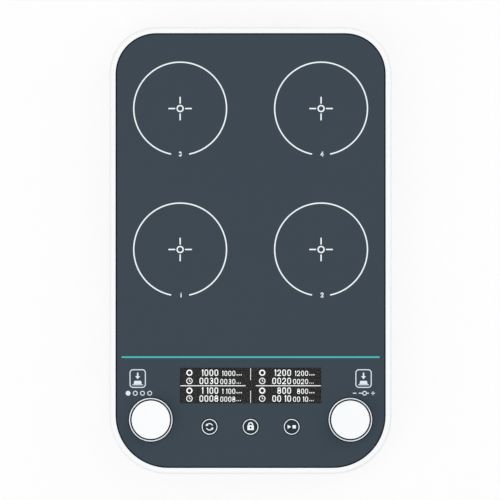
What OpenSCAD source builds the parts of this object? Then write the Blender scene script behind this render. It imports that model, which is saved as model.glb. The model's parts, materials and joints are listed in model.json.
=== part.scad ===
// Magnetic stirrer for the bench with four stirring places behind a control strip.
// Sizes are in millimetres. The origin is at the middle of the footprint, where the feet stand.
// X runs to the right, Y to the rear and Z up.

/* [Footprint] */
// Distance between neighbouring stirring axes
position_pitch = 105.7; // [98:0.1:118]
// From the side of the body to the nearest stirring axis
side_margin = 52.9; // [48:0.1:62]
// From the rear of the body to the rear row of stirring axes
rear_margin = 61; // [56:0.5:72]
// From the front row of stirring axes to the front of the body
control_depth = 168.3; // [160:0.1:185]
// Radius of the two rear corners, seen from above
rear_corner_r = 35; // [30:0.5:42]
// Radius of the two front corners, seen from above
front_corner_r = 44; // [38:0.5:50]

/* [Casing] */
// Wall thickness of the base pan and the upper housing
wall_t = 2.5; // [2:0.1:3.2]
// Thickness of the base pan floor
floor_t = 3; // [2.5:0.1:4]
// Visible height of the base pan
base_h = 22; // [19:0.5:25]
// Height that the base pan wall reaches up inside the upper housing
lap_h = 3; // [2:0.1:5]
// Gap between the two walls where they lap
lap_gap = 0.5; // [0.3:0.1:1]
// Radius of the rim edge and of the base edge
edge_r = 2; // [1:0.1:3]
// Thickness of the deck under the panel
deck_t = 2.5; // [2:0.1:3.5]
// Step from a post out to the base pan boss that it stands on
boss_step = 0.5; // [0:0.1:1]
// Ventilation slots in the base pan floor
vent_count = 7; // [3:2:9]
// Length of a ventilation slot
vent_l = 46; // [20:1:60]
// Width of a ventilation slot
vent_w = 2.5; // [1.5:0.1:4]
// Distance between ventilation slots
vent_pitch = 10; // [7:0.5:12]

/* [Top panel] */
// Width of the rim round the panel
rim_w = 4.4; // [3.5:0.05:6]
// Gap between the panel edge and the rim
panel_gap = 1; // [0.3:0.05:1.2]
// Depth of the panel face below the rim
panel_recess = 0.3; // [0:0.05:0.8]
// Thickness of the panel
panel_t = 2; // [1.5:0.1:3]
// Thickness of the gasket between panel and deck
gasket_t = 0.3; // [0.2:0.05:0.8]
// Gap round the bezels and key rings in the panel
trim_gap = 0.7; // [0.2:0.05:0.9]

/* [Display] */
// Width of the display window
display_w = 105.8; // [90:0.1:112]
// Height of the display window, front to rear
display_h = 26.6; // [22:0.1:29]
// From the front of the body to the middle of the display
display_front = 66.3; // [64:0.1:72]
// Lip of the display behind the panel on each side
display_lip = 3.5; // [2:0.1:4]
// Thickness of the display window
window_t = 0.6; // [0.4:0.1:1.2]
// Thickness of the display glass behind the panel
glass_t = 2; // [1:0.1:2.5]
// Depth of the light box in the display frame
light_box_depth = 3; // [1:0.1:4]
// Wall of the light box in the display frame
light_box_wall = 2; // [1:0.1:3]

/* [Knobs] */
// Diameter of a knob
knob_d = 28.8; // [24:0.1:34]
// Height of a knob
knob_h = 12.8; // [11.5:0.1:18]
// From the side of the body to a knob axis
knob_side = 30.9; // [28:0.1:36]
// From the front of the body to the knob axes
knob_front = 40.6; // [38:0.1:44]
// Press travel of a knob
knob_travel = 1.5; // [0.8:0.1:2]
// Wall thickness of a knob
knob_wall = 2; // [1.5:0.1:3]
// Thickness of the top of a knob
knob_roof_t = 2.5; // [1.5:0.1:3]
// Radius of the edge round the top of a knob
knob_edge_r = 0.4; // [0.3:0.1:1.4]
// Diameter of the hub inside a knob
knob_hub_d = 12; // [10:0.5:16]
// Gap between a knob and its bezel
knob_gap = 1.05; // [0.5:0.05:1.5]
// Width of a knob bezel
bezel_w = 0.9; // [0.7:0.05:2]
// Height of a knob bezel above the panel
bezel_proud = 0.8; // [0.2:0.1:1.5]

/* [Encoders] */
// Width of an encoder body
encoder_w = 12; // [11:0.5:14]
// Height of an encoder body, which is also the space between board and deck
encoder_h = 7; // [6.5:0.1:9]
// Diameter of an encoder shaft
encoder_shaft_d = 6; // [5:0.1:6.2]
// Distance from the shaft axis to its flat
encoder_flat = 1.5; // [1:0.1:2.2]
// Diameter of the threaded bush on an encoder
bush_d = 8; // [7.6:0.1:9]
// Diameter of an encoder rotor
rotor_d = 9; // [8:0.1:9.5]
// Thickness of an encoder rotor
rotor_t = 2; // [1.5:0.1:2.4]
// Size of an encoder nut across its flats
nut_af = 11; // [10.5:0.5:14]
// Thickness of an encoder nut
nut_t = 2; // [1.5:0.1:2.5]
// Length of bush that stands above its nut
bush_rise = 1; // [0.5:0.1:1.5]
// Thickness of the floor in an encoder
encoder_floor_t = 0.6; // [0.4:0.1:0.9]
// Thickness of the roof over an encoder rotor
encoder_roof_t = 1.2; // [0.8:0.1:1.4]

/* [Keys] */
// Diameter of a key
key_d = 9.6; // [8:0.1:13]
// Distance between keys
key_pitch = 30.8; // [24:0.1:36]
// From the front of the body to the keys
key_front = 35.3; // [33:0.1:39]
// Press travel of a key
key_travel = 0.5; // [0.2:0.05:0.8]
// Height of a key above the panel
key_proud = 0.3; // [0:0.05:0.8]
// Width of the ring round a key
key_ring_w = 0.85; // [0.6:0.05:1.5]
// Height of a key ring above the panel
key_ring_proud = 0.2; // [0:0.05:0.6]
// Thickness of the flange that keeps a key under the deck
key_flange_t = 1.2; // [0.8:0.1:1.5]
// Width of the flange that keeps a key under the deck
key_flange_lip = 1; // [0.6:0.1:2]
// Thickness of the top and the side of a key
key_skin_t = 1.6; // [1:0.1:2]
// Width of a tact switch
switch_w = 6; // [5:0.1:8]
// Height of a tact switch
switch_h = 4; // [3.4:0.1:4.2]
// Diameter of a tact switch plunger
plunger_d = 3.5; // [2.5:0.1:4]
// Depth that a plunger reaches into its tact switch
plunger_depth = 1; // [0.6:0.1:1.4]

/* [Stirring drives] */
// Diameter of a motor
motor_d = 36; // [30:0.5:42]
// Height of a motor
motor_h = 20; // [16:0.5:26]
// Diameter of a motor shaft
motor_shaft_d = 4; // [3:0.1:5]
// Diameter of the spigot that centres a motor in its plate
spigot_d = 12; // [10:0.5:14]
// Thickness of the motor behind the end of its shaft
motor_back_t = 2; // [1:0.1:4]
// Diameter of the bearing cap under a motor
cap_d = 9; // [7:0.5:12]
// Height of the bearing cap under a motor
cap_h = 1; // [0.5:0.1:2]
// Distance between the two screws of a motor
motor_screw_pitch = 25; // [22:0.5:26]
// Space between a motor and the base pan floor
motor_floor_gap = 5; // [4:0.1:9]
// Diameter of a drive magnet
magnet_d = 12; // [8:0.1:14]
// Height of a drive magnet
magnet_h = 8; // [5:0.1:10]
// Distance between the two magnets of a holder
magnet_pitch = 30; // [26:0.5:36]
// Wall of a holder round its magnets
holder_wall = 2; // [1.5:0.1:3]
// Floor of a holder under its magnets
holder_floor = 2; // [1.5:0.1:3]
// Running gap between a holder and the deck
holder_gap = 1.5; // [1:0.1:3]
// Diameter of the hub under a holder
holder_hub_d = 10; // [8:0.5:12]
// Height of the hub under a holder
holder_hub_h = 1.5; // [1:0.1:2.4]

/* [Motor plate] */
// Thickness of the motor plate
plate_t = 2; // [1.5:0.1:3]
// Space between the motor plate and the magnet holders
plate_gap = 3.5; // [3.2:0.1:6]
// Margin of the motor plate round the stirring axes
plate_margin = 30; // [27:0.5:33]
// From the edge of the motor plate to its posts
plate_post_inset = 7; // [6:0.5:9]

/* [Boards] */
// Thickness of both circuit boards
board_t = 1.6; // [1:0.1:2]
// Margin of the control board round what it carries
board_margin = 3; // [2:0.1:3.5]
// Width of the drive board
drive_w = 140; // [120:1:146]
// Depth of the drive board, front to rear
drive_d = 90; // [75:1:95]
// From the front of the body to the drive board
drive_front = 28; // [25:0.5:32]
// Height of the standoffs under the drive board
standoff_h = 6; // [4:0.1:9]
// Diameter of the standoffs under the drive board
standoff_d = 7; // [6:0.1:8]
// From the edges of the drive board to its standoffs
standoff_inset = 5; // [4:0.1:7]
// Diameter of the bosses over the control board
board_boss_d = 7; // [6:0.1:8]
// Width of a chip on the boards
chip_w = 8; // [5:0.5:10]
// Height of a chip on the boards
chip_h = 1.4; // [0.8:0.1:2]
// Diameter of a capacitor on the drive board
capacitor_d = 10; // [6:0.5:12]
// Height of a capacitor on the drive board
capacitor_h = 12; // [8:0.5:16]
// Width of a flat lead
lead_w = 4; // [2:0.1:5]
// Thickness of a flat lead
lead_t = 1.2; // [0.8:0.1:1.6]
// Gap between two leads that run side by side
lead_gap = 2; // [1:0.1:3]
// Width of the ribbon cable
ribbon_w = 20; // [12:0.5:26]
// Thickness of the ribbon cable
ribbon_t = 1.2; // [0.8:0.1:1.6]
// Step of the ribbon cable to the rear on its way down
ribbon_step = 8; // [4:0.5:12]
// From the middle of the display back to the plug of the ribbon cable
ribbon_offset = 4; // [-6:0.5:8]
// Depth of a ribbon plug, front to rear
plug_d = 6; // [4:0.1:8]
// Height of a ribbon plug
plug_h = 5; // [3:0.1:7]
// Wall of a ribbon plug at each end of the ribbon
plug_wall = 2; // [1:0.1:3]

/* [Power] */
// Sideways place of the power inlet
inlet_x = -24; // [-28:0.5:-16]
// Diameter of the inlet flange
inlet_flange_d = 14; // [13:0.1:17]
// Diameter of the inlet barrel
inlet_barrel_d = 11; // [9:0.1:12]
// Length of the inlet barrel behind the flange
inlet_l = 14; // [12:0.5:18]
// Diameter of the inlet socket
inlet_bore_d = 6.4; // [5:0.1:7]
// Depth of the inlet socket
inlet_bore_depth = 11; // [8:0.1:12]
// Diameter of the pin in the inlet
inlet_pin_d = 2; // [1:0.1:2.5]
// Depth of the tip of the pin in the inlet
inlet_pin_recess = 1; // [0.5:0.1:3]
// Thickness of the inlet flange
inlet_flange_t = 1.8; // [1:0.1:2.2]
// Thickness of the inlet nut
inlet_nut_t = 2; // [1.5:0.1:3]
// Wall of the inlet nut at its flats
inlet_nut_wall = 1.5; // [1:0.1:2]
// Sideways place of the power switch
power_switch_x = 22; // [16:0.5:26]
// Width of the rocker
rocker_w = 14.8; // [12:0.1:16]
// Height of the rocker
rocker_h = 10; // [8:0.1:11]
// Angle that the rocker tips through
rocker_throw = 18; // [12:1:20]
// Diameter of the rocker pivot
rocker_pivot_d = 3; // [2:0.1:3.5]
// Reach of the rocker pivot into each side of the switch
pivot_reach = 0.9; // [0.6:0.1:1]
// Depth of the rocker pivot behind the wall face
pivot_depth = 3; // [2.6:0.1:4]
// Distance from the pivot up to the middle of the rocker face
rocker_rise = 3.4; // [2.5:0.1:3.6]
// Distance from the pivot down to the keel of the rocker
rocker_keel = 2.6; // [2:0.1:3]
// Step from the end of the rocker in to its keel
rocker_keel_step = 1.5; // [0.5:0.1:3]
// Depth of the pocket that the rocker swings in
pocket_depth = 8; // [7.5:0.1:9]
// Clearance at each end of the rocker in its pocket
pocket_end = 1; // [0.9:0.1:1.5]
// Wall of the switch at each end of the pocket
switch_end_t = 1; // [0.8:0.1:1.5]
// Wall of the switch at each side of the pocket
switch_side_t = 1.5; // [1.3:0.1:2]
// Length of the switch behind the wall face
switch_body_l = 11; // [10:0.1:15]
// Width of the switch flange round the wall opening
switch_flange_lip = 1.2; // [0.8:0.1:1.5]
// Thickness of the switch flange
switch_flange_t = 1.2; // [0.8:0.1:1.6]
// Length of the switch terminals
terminal_l = 6; // [4:0.5:8]

/* [Feet and fasteners] */
// Diameter of a foot
foot_d = 18; // [14:0.5:20]
// Height of the feet below the base pan
foot_h = 6; // [4:0.1:10]
// From the sides of the body to the feet
foot_inset = 34; // [33:0.5:42]
// Depth that a foot sits into the base pan
foot_seat = 1; // [0.5:0.1:1.5]
// Diameter of the screws
screw_d = 3; // [2.5:0.1:3.4]
// Diameter of a screw head
screw_head_d = 5.5; // [5:0.1:6]
// Height of a screw head
screw_head_h = 2; // [1.6:0.1:2.4]
// Depth of a case screw head below the base pan
screw_sink = 0.5; // [0.2:0.1:1]
// Length of a screw in the part that it holds to
screw_bite = 7; // [5:0.5:8]
// Length of a screw hole past the end of its screw
screw_rest = 2; // [1:0.1:3]
// Size of the screw sockets across their flats
socket_af = 2.5; // [1.5:0.1:3]
// Depth of the screw sockets
socket_depth = 1.2; // [0.8:0.1:1.4]
// Diameter of a post that takes a screw
post_d = 8; // [7:0.1:9]
// From the corner edge of the body to a case screw
post_inset = 14; // [13:0.5:16]
// From the front edge of the motor plate to the middle case screws
post_setback = 10; // [8:0.5:14]
// Height of the base pan bosses above the floor
boss_h = 5; // [4:0.1:8]

/* [Fits] */
// Radial clearance of a shaft that turns in a bore
turn_fit = 0.05; // [0.02:0.01:0.1]
// Radial clearance of a part pressed on a shaft
press_fit = 0.02; // [0.01:0.01:0.03]
// Gap round a part set into a hole or pocket
seat_gap = 0.15; // [0.1:0.05:0.3]
// Gap round a part that slides in a hole
slide_gap = 0.25; // [0.2:0.05:0.5]
// Gap that is left at the end of a movement
stop_gap = 0.4; // [0.3:0.05:0.6]
// Radial clearance of a screw in a clearance hole
screw_gap = 0.2; // [0.1:0.05:0.4]

/* [Hidden] */
$fn = 64;
// Overcut of a hole past the face it opens through
cut = 1;
diagonal = sqrt(0.5);

body_w = position_pitch + 2 * side_margin;
body_d = rear_margin + position_pitch + control_depth;
side_x = body_w / 2;
rear_y = body_d / 2;
front_y = -body_d / 2;
base_inset = wall_t + lap_gap;
wall_y = rear_y - base_inset;

// Places in plan
pos_x = position_pitch / 2;
rear_row_y = rear_y - rear_margin;
front_row_y = rear_row_y - position_pitch;
places = [[-pos_x, front_row_y], [pos_x, front_row_y], [-pos_x, rear_row_y], [pos_x, rear_row_y]];
knob_x = side_x - knob_side;
knob_y = front_y + knob_front;
knob_places = [[-knob_x, knob_y], [knob_x, knob_y]];
key_y = front_y + key_front;
key_places = [[-key_pitch, key_y], [0, key_y], [key_pitch, key_y]];
display_y = front_y + display_front;

// Levels, from the feet up
base_z = foot_h;
floor_z = base_z + floor_t;
boss_z = floor_z + boss_h;
split_z = base_z + base_h;
drive_z = floor_z + standoff_h;
drive_top_z = drive_z + board_t;
motor_z = floor_z + motor_floor_gap;
plate_z = motor_z + motor_h;
plate_top_z = plate_z + plate_t;
holder_z = plate_top_z + plate_gap;
holder_h = magnet_h + holder_floor;
holder_top_z = holder_z + holder_h;
deck_z = holder_top_z + holder_gap;
deck_top_z = deck_z + deck_t;
panel_z = deck_top_z + gasket_t;
panel_top_z = panel_z + panel_t;
rim_z = panel_top_z + panel_recess;
board_top_z = deck_z - encoder_h;
board_z = board_top_z - board_t;

// Magnet holders
holder_w = magnet_d + 2 * holder_wall;

// Knobs and encoders
bezel_d = knob_d + 2 * (knob_gap + bezel_w);
knob_z = panel_z + knob_travel + stop_gap;
knob_roof_z = knob_z + knob_h - knob_roof_t;
bush_z = deck_top_z + nut_t + bush_rise;
hub_z = bush_z + knob_travel + stop_gap;
shaft_z = board_top_z + encoder_floor_t + knob_travel + stop_gap;
rotor_space = rotor_t + 2 * slide_gap;
rotor_space_z = deck_z - encoder_roof_t - rotor_space;
nut_r = nut_af / 2 / cos(30);

// Keys
key_hole_d = key_d + 2 * slide_gap;
key_ring_d = key_hole_d + 2 * key_ring_w;
key_flange_d = key_hole_d + 2 * key_flange_lip;
key_flange_z = deck_z - slide_gap - key_flange_t;
key_h = panel_top_z + key_proud - key_flange_z;
plunger_z = board_top_z + switch_h - plunger_depth;

// Display
frame_w = display_w + 2 * display_lip;
frame_h = display_h + 2 * display_lip;
frame_top_z = panel_z - glass_t;
window_z = panel_top_z - window_t;

// Posts and screws
boss_d = post_d + 2 * boss_step;
counterbore_d = screw_head_d + 2 * screw_gap;
counterbore_h = screw_head_h + screw_sink;
screw_hole_h = screw_bite + screw_rest;
screw_body_d = screw_d - 2 * turn_fit;
screw_clear_d = screw_d + 2 * screw_gap;
foot_points = corners(side_x - foot_inset, foot_inset - rear_y, rear_y - foot_inset);

// Motor plate
plate_half_w = pos_x + plate_margin;
plate_rear_y = rear_row_y + plate_margin;
plate_front_y = front_row_y - plate_margin;
plate_points = corners(
    plate_half_w - plate_post_inset, plate_front_y + plate_post_inset, plate_rear_y - plate_post_inset
);
case_points = concat(
    [for (s = [-1, 1]) corner_point(rear_corner_r, s, 1)],
    [for (s = [-1, 1]) corner_point(front_corner_r, s, -1)],
    [for (s = [-1, 1]) [s * (side_x - post_inset), plate_front_y - post_setback]]
);

// Boards
board_half_w = knob_x + encoder_w / 2 + board_margin;
board_front_y = min(knob_y - encoder_w / 2, key_y - switch_w / 2) - board_margin;
board_rear_y = display_y + frame_h / 2 + board_margin;
board_points = concat(
    [for (s = [-1, 1]) [s * (frame_w / 2 + board_boss_d), display_y + frame_h / 4]],
    [for (s = [-1, 1]) [s * (key_pitch + knob_x) / 2, key_y]]
);
drive_front_y = front_y + drive_front;
drive_rear_y = drive_front_y + drive_d;
drive_y = (drive_front_y + drive_rear_y) / 2;
drive_points = corners(
    drive_w / 2 - standoff_inset, drive_front_y + standoff_inset, drive_rear_y - standoff_inset
);

chip_points = corners(pos_x - chip_w, drive_y, drive_y + 2 * chip_w);

// Wiring
lead_end_y = drive_rear_y - 2 * standoff_inset;
front_lane = (cap_d + lead_w) / 2 + lead_gap;
rear_lane = front_lane + lead_w + lead_gap;
ribbon_y = display_y + ribbon_offset;
plug_w = ribbon_w + 2 * plug_wall;

// Power inlet and switch
port_z = base_z + base_h / 2;
inlet_nut_af = inlet_barrel_d + 2 * inlet_nut_wall;
pocket_w = rocker_w + 2 * pocket_end;
pocket_h = rocker_h + 2 * slide_gap;
switch_body_w = pocket_w + 2 * switch_end_t;
switch_body_h = pocket_h + 2 * switch_side_t;
switch_flange_w = switch_body_w + 2 * switch_flange_lip;
switch_flange_h = switch_body_h + 2 * switch_flange_lip;
switch_end_y = wall_y - switch_body_l - terminal_l;
pivot_y = wall_y - pivot_depth;
pivot_l = pocket_h + 2 * pivot_reach;
rocker_tip = rocker_rise + rocker_w / 2 * tan(rocker_throw / 2);
rocker_keel_x = rocker_w / 2 - rocker_keel_step;

// The four corners of a rectangle that is centred on X
function corners(half_w, low_y, high_y) = [for (s = [-1, 1]) for (y = [low_y, high_y]) [s * half_w, y]];

// Middle of a corner post, on the diagonal of a corner with radius r
function corner_point(r, sx, sy) = [
    sx * (side_x - r + (r - post_inset) * diagonal),
    sy * (rear_y - r + (r - post_inset) * diagonal)
];

// Moves its children to a point in plan at one height
module at(point, z = 0) {
    translate([point[0], point[1], z]) children();
}

// Plan of the body, set in from its sides
module outline(inset = 0) {
    half_w = side_x - inset;
    half_d = rear_y - inset;
    rear_r = rear_corner_r - inset;
    front_r = front_corner_r - inset;
    translate([-half_w, -half_d + front_r]) square([2 * half_w, 2 * half_d - front_r - rear_r]);
    translate([-half_w + rear_r, half_d - rear_r]) square([2 * (half_w - rear_r), rear_r]);
    translate([-half_w + front_r, -half_d]) square([2 * (half_w - front_r), front_r]);
    for (s = [-1, 1]) {
        translate([s * (half_w - rear_r), half_d - rear_r]) circle(rear_r);
        translate([s * (half_w - front_r), -half_d + front_r]) circle(front_r);
    }
}

// Section of the stock outside a rounded edge, with the edge's corner at the origin
module edge_section() {
    difference() {
        translate([-edge_r, -edge_r]) square(2 * edge_r);
        translate([-edge_r, -edge_r]) circle(edge_r);
    }
}

// Stock to take off round the upper edge of the outline
module edge_stock(inset) {
    half_w = side_x - inset;
    half_d = rear_y - inset;
    rear_r = rear_corner_r - inset;
    front_r = front_corner_r - inset;
    for (s = [0, 1]) {
        mirror([s, 0, 0]) {
            translate([half_w, half_d - rear_r, 0]) rotate([90, 0, 0])
                linear_extrude(2 * half_d - rear_r - front_r) edge_section();
            translate([half_w - rear_r, half_d - rear_r, 0])
                rotate_extrude(angle = 90) translate([rear_r, 0]) edge_section();
            translate([half_w - front_r, front_r - half_d, 0]) rotate([0, 0, -90])
                rotate_extrude(angle = 90) translate([front_r, 0]) edge_section();
        }
    }
    translate([rear_r - half_w, half_d, 0]) rotate([90, 0, 90])
        linear_extrude(2 * (half_w - rear_r)) edge_section();
    translate([half_w - front_r, -half_d, 0]) rotate([90, 0, -90])
        linear_extrude(2 * (half_w - front_r)) edge_section();
}

// Section of a shaft with one flat
module flat_shaft_section(clearance = 0) {
    r = encoder_shaft_d / 2 + clearance;
    intersection() {
        circle(r);
        translate([-r, -r]) square([2 * r, r + encoder_flat + clearance]);
    }
}

// Screw with its seat at the origin, its head up and its body down
module screw(grip) {
    difference() {
        union() {
            cylinder(d = screw_head_d, h = screw_head_h);
            translate([0, 0, -grip]) cylinder(d = screw_body_d, h = grip + screw_head_h / 2);
        }
        translate([0, 0, screw_head_h - socket_depth])
            cylinder(d = socket_af / cos(30), h = socket_depth + cut, $fn = 6);
    }
}

// Lower casing with the bosses, posts and standoffs
module base_pan() {
    color("gainsboro")
    difference() {
        union() {
            difference() {
                translate([0, 0, base_z]) linear_extrude(base_h + lap_h) outline(base_inset);
                translate([0, 0, floor_z]) linear_extrude(base_h + lap_h) outline(base_inset + wall_t);
            }
            for (p = case_points) at(p, floor_z - cut) cylinder(d = boss_d, h = boss_h + cut);
            for (p = plate_points) at(p, floor_z - cut) cylinder(d = post_d, h = plate_z - floor_z + cut);
            for (p = drive_points) at(p, floor_z - cut) cylinder(d = standoff_d, h = standoff_h + cut);
        }
        translate([0, 0, base_z]) mirror([0, 0, 1]) edge_stock(base_inset);
        for (p = case_points) {
            at(p, base_z - cut) cylinder(d = counterbore_d, h = counterbore_h + cut);
            at(p, base_z) cylinder(d = screw_clear_d, h = floor_t + boss_h + cut);
        }
        for (p = plate_points)
            at(p, plate_z - screw_hole_h) cylinder(d = screw_d, h = screw_hole_h + cut);
        for (p = drive_points)
            at(p, drive_z - standoff_h) cylinder(d = screw_d, h = standoff_h + cut);
        for (p = foot_points)
            at(p, base_z - cut) cylinder(d = foot_d + 2 * seat_gap, h = foot_seat + cut);
        for (i = [0 : vent_count - 1])
            translate([(i - (vent_count - 1) / 2) * vent_pitch, drive_y, base_z + floor_t / 2])
                cube([vent_w, vent_l, floor_t + 2 * cut], center = true);
        translate([inlet_x, wall_y + cut, port_z]) rotate([90, 0, 0])
            cylinder(d = inlet_barrel_d + 2 * seat_gap, h = wall_t + 2 * cut);
        translate([power_switch_x, wall_y - wall_t / 2, port_z]) rotate([90, 0, 0])
            linear_extrude(wall_t + 2 * cut, center = true)
                square([switch_body_w + 2 * seat_gap, switch_body_h + 2 * seat_gap], center = true);
    }
}

// Upper casing with the rim, the deck and the posts
module upper_housing() {
    color("white")
    difference() {
        union() {
            difference() {
                translate([0, 0, split_z]) linear_extrude(rim_z - split_z) outline();
                translate([0, 0, split_z - cut]) linear_extrude(deck_z - split_z + cut) outline(wall_t);
            }
            for (p = case_points) at(p, boss_z) cylinder(d = post_d, h = deck_z - boss_z + cut);
            for (p = board_points) at(p, board_top_z) cylinder(d = board_boss_d, h = encoder_h + cut);
        }
        translate([0, 0, rim_z]) edge_stock(0);
        translate([0, 0, deck_top_z]) linear_extrude(rim_z - deck_top_z + cut) outline(rim_w);
        for (p = case_points) at(p, boss_z - cut) cylinder(d = screw_d, h = screw_hole_h + cut);
        for (p = board_points) at(p, board_top_z - cut) cylinder(d = screw_d, h = encoder_h + cut);
        for (p = knob_places) at(p, deck_z - cut) cylinder(d = bush_d + 2 * seat_gap, h = deck_t + 2 * cut);
        for (p = key_places) at(p, deck_z - cut) cylinder(d = key_hole_d, h = deck_t + 2 * cut);
        translate([0, display_y, deck_z + deck_t / 2])
            cube([frame_w + 2 * seat_gap, frame_h + 2 * seat_gap, deck_t + 2 * cut], center = true);
    }
}

// Dark plate that the vessels stand on
module top_panel() {
    color("darkslategray")
    translate([0, 0, panel_z]) linear_extrude(panel_t) difference() {
        outline(rim_w + panel_gap);
        for (p = knob_places) at(p) circle(d = bezel_d + 2 * trim_gap);
        for (p = key_places) at(p) circle(d = key_ring_d + 2 * trim_gap);
        translate([0, display_y]) square([display_w, display_h], center = true);
    }
}

// Dark sheet between the panel and the deck, which shows in the gap round the panel and in the knob wells
module panel_gasket() {
    color("black")
    translate([0, 0, deck_top_z]) linear_extrude(gasket_t) difference() {
        outline(rim_w + seat_gap);
        for (p = knob_places) at(p) circle(r = nut_r + slide_gap);
        for (p = key_places) at(p) circle(d = key_hole_d);
        translate([0, display_y]) square([frame_w + 2 * seat_gap, frame_h + 2 * seat_gap], center = true);
    }
}

// Outline of what is set into the display opening of the panel
module display_opening_fill() {
    square([display_w - 2 * seat_gap, display_h - 2 * seat_gap], center = true);
}

// Clear pane set flush into the panel
module display_window() {
    color("dimgray")
    translate([0, display_y, window_z]) linear_extrude(window_t) display_opening_fill();
}

// Display cell: a plate behind the panel, with a face that rises in the opening up to the pane
module display_glass() {
    color("black")
    translate([0, display_y, frame_top_z]) {
        linear_extrude(glass_t) square([frame_w, frame_h], center = true);
        linear_extrude(window_z - frame_top_z) display_opening_fill();
    }
}

// Tray that holds the display cell and its light box on the board
module display_frame() {
    color("ivory")
    difference() {
        translate([0, display_y, board_top_z]) linear_extrude(frame_top_z - board_top_z)
            square([frame_w, frame_h], center = true);
        translate([0, display_y, frame_top_z - light_box_depth]) linear_extrude(light_box_depth + cut)
            square([frame_w - 2 * light_box_wall, frame_h - 2 * light_box_wall], center = true);
    }
}

// Board under the deck with the display, encoders and switches
module control_board() {
    color("darkgreen")
    translate([0, 0, board_z]) linear_extrude(board_t) difference() {
        translate([-board_half_w, board_front_y]) square([2 * board_half_w, board_rear_y - board_front_y]);
        for (p = board_points) at(p) circle(d = screw_clear_d);
        for (p = case_points) at(p) circle(d = post_d + 2 * stop_gap);
    }
}

// Chip and ribbon plug on the underside of the control board
module control_components() {
    color("dimgray") {
        translate([0, ribbon_y, board_z - plug_h / 2]) cube([plug_w, plug_d, plug_h], center = true);
        translate([0, key_y, board_z - chip_h / 2]) cube([chip_w, chip_w, chip_h], center = true);
    }
}

// Screws that hold the control board to the deck
module control_board_screws() {
    color("silver")
    for (p = board_points) at(p, board_z) mirror([0, 0, 1]) screw(board_t + encoder_h - screw_rest);
}

// Board on the base pan with the motor drivers
module drive_board() {
    color("darkgreen")
    translate([0, 0, drive_z]) linear_extrude(board_t) difference() {
        translate([-drive_w / 2, drive_front_y]) square([drive_w, drive_d]);
        for (p = drive_points) at(p) circle(d = screw_clear_d);
    }
}

// Ribbon plug, driver chips and capacitors on the drive board
module drive_components() {
    color("dimgray") {
        translate([0, ribbon_y + ribbon_step, drive_top_z + plug_h / 2])
            cube([plug_w, plug_d, plug_h], center = true);
        for (p = chip_points)
            at(p, drive_top_z + chip_h / 2) cube([chip_w, chip_w, chip_h], center = true);
        for (s = [-1, 1])
            translate([s * pos_x, drive_y - 2 * capacitor_d, drive_top_z])
                cylinder(d = capacitor_d, h = capacitor_h);
    }
}

// Screws that hold the drive board to its standoffs
module drive_board_screws() {
    color("silver")
    for (p = drive_points) at(p, drive_top_z) screw(board_t + standoff_h - screw_rest);
}

// Plate that carries the four motors
module motor_plate() {
    color("silver")
    translate([0, 0, plate_z]) linear_extrude(plate_t) difference() {
        translate([-plate_half_w, plate_front_y]) square([2 * plate_half_w, plate_rear_y - plate_front_y]);
        for (p = places) at(p) circle(d = spigot_d + 2 * seat_gap);
        for (p = places) at(p) motor_screw_places() circle(d = screw_clear_d);
        for (p = plate_points) at(p) circle(d = screw_clear_d);
    }
}

// Puts its children at the two screws of a motor
module motor_screw_places() {
    for (s = [-1, 1]) translate([0, s * motor_screw_pitch / 2]) children();
}

// Screws that hold the motor plate to its posts
module plate_screws() {
    color("silver")
    for (p = plate_points) at(p, plate_top_z) screw(plate_t + screw_bite);
}

// Motor hung from the plate, with its shaft up
module motor(place) {
    color("dimgray")
    at(places[place]) difference() {
        union() {
            translate([0, 0, motor_z]) cylinder(d = motor_d, h = motor_h);
            translate([0, 0, plate_z - cut]) cylinder(d = spigot_d, h = plate_t + cut);
            translate([0, 0, motor_z - cap_h]) cylinder(d = cap_d, h = cap_h + cut);
        }
        translate([0, 0, motor_z + motor_back_t])
            cylinder(d = motor_shaft_d + 2 * turn_fit, h = motor_h + plate_t);
        translate([0, 0, plate_z - screw_hole_h]) motor_screw_places()
            cylinder(d = screw_d, h = screw_hole_h + cut);
    }
}

// Screws that hold the motors to the plate
module motor_screws() {
    color("silver")
    for (p = places) at(p, plate_top_z) motor_screw_places() screw(plate_t + screw_bite);
}

// Motor shaft up to the top of its magnet holder
module motor_shaft(place) {
    color("lightgray")
    at(places[place], motor_z + motor_back_t + stop_gap)
        cylinder(d = motor_shaft_d, h = holder_top_z - motor_z - motor_back_t - 2 * stop_gap);
}

// Bar on the motor shaft with a pocket for a magnet at each end
module magnet_holder(place) {
    color("dimgray")
    at(places[place]) difference() {
        union() {
            translate([0, 0, holder_z]) linear_extrude(holder_h) {
                square([magnet_pitch, holder_w], center = true);
                for (s = [-1, 1]) translate([s * magnet_pitch / 2, 0]) circle(d = holder_w);
            }
            translate([0, 0, holder_z - holder_hub_h]) cylinder(d = holder_hub_d, h = holder_hub_h + cut);
        }
        translate([0, 0, holder_z - holder_hub_h - cut])
            cylinder(d = motor_shaft_d + 2 * press_fit, h = holder_h + holder_hub_h + 2 * cut);
        for (s = [-1, 1]) translate([s * magnet_pitch / 2, 0, holder_z + holder_floor])
            cylinder(d = magnet_d + 2 * press_fit, h = magnet_h + cut);
    }
}

// Pair of drive magnets in one holder
module magnets(place) {
    color("silver")
    at(places[place], holder_z + holder_floor)
        for (s = [-1, 1]) translate([s * magnet_pitch / 2, 0, 0]) cylinder(d = magnet_d, h = magnet_h);
}

// Flat lead along the floor between two heights
module lead(x, start_y, start_z, end_y) {
    translate([x - lead_w / 2, end_y, floor_z]) {
        cube([lead_w, start_y - end_y, lead_t]);
        cube([lead_w, lead_t, drive_z - floor_z]);
        translate([0, start_y - end_y - lead_t, 0]) cube([lead_w, lead_t, start_z - floor_z]);
    }
}

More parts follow.
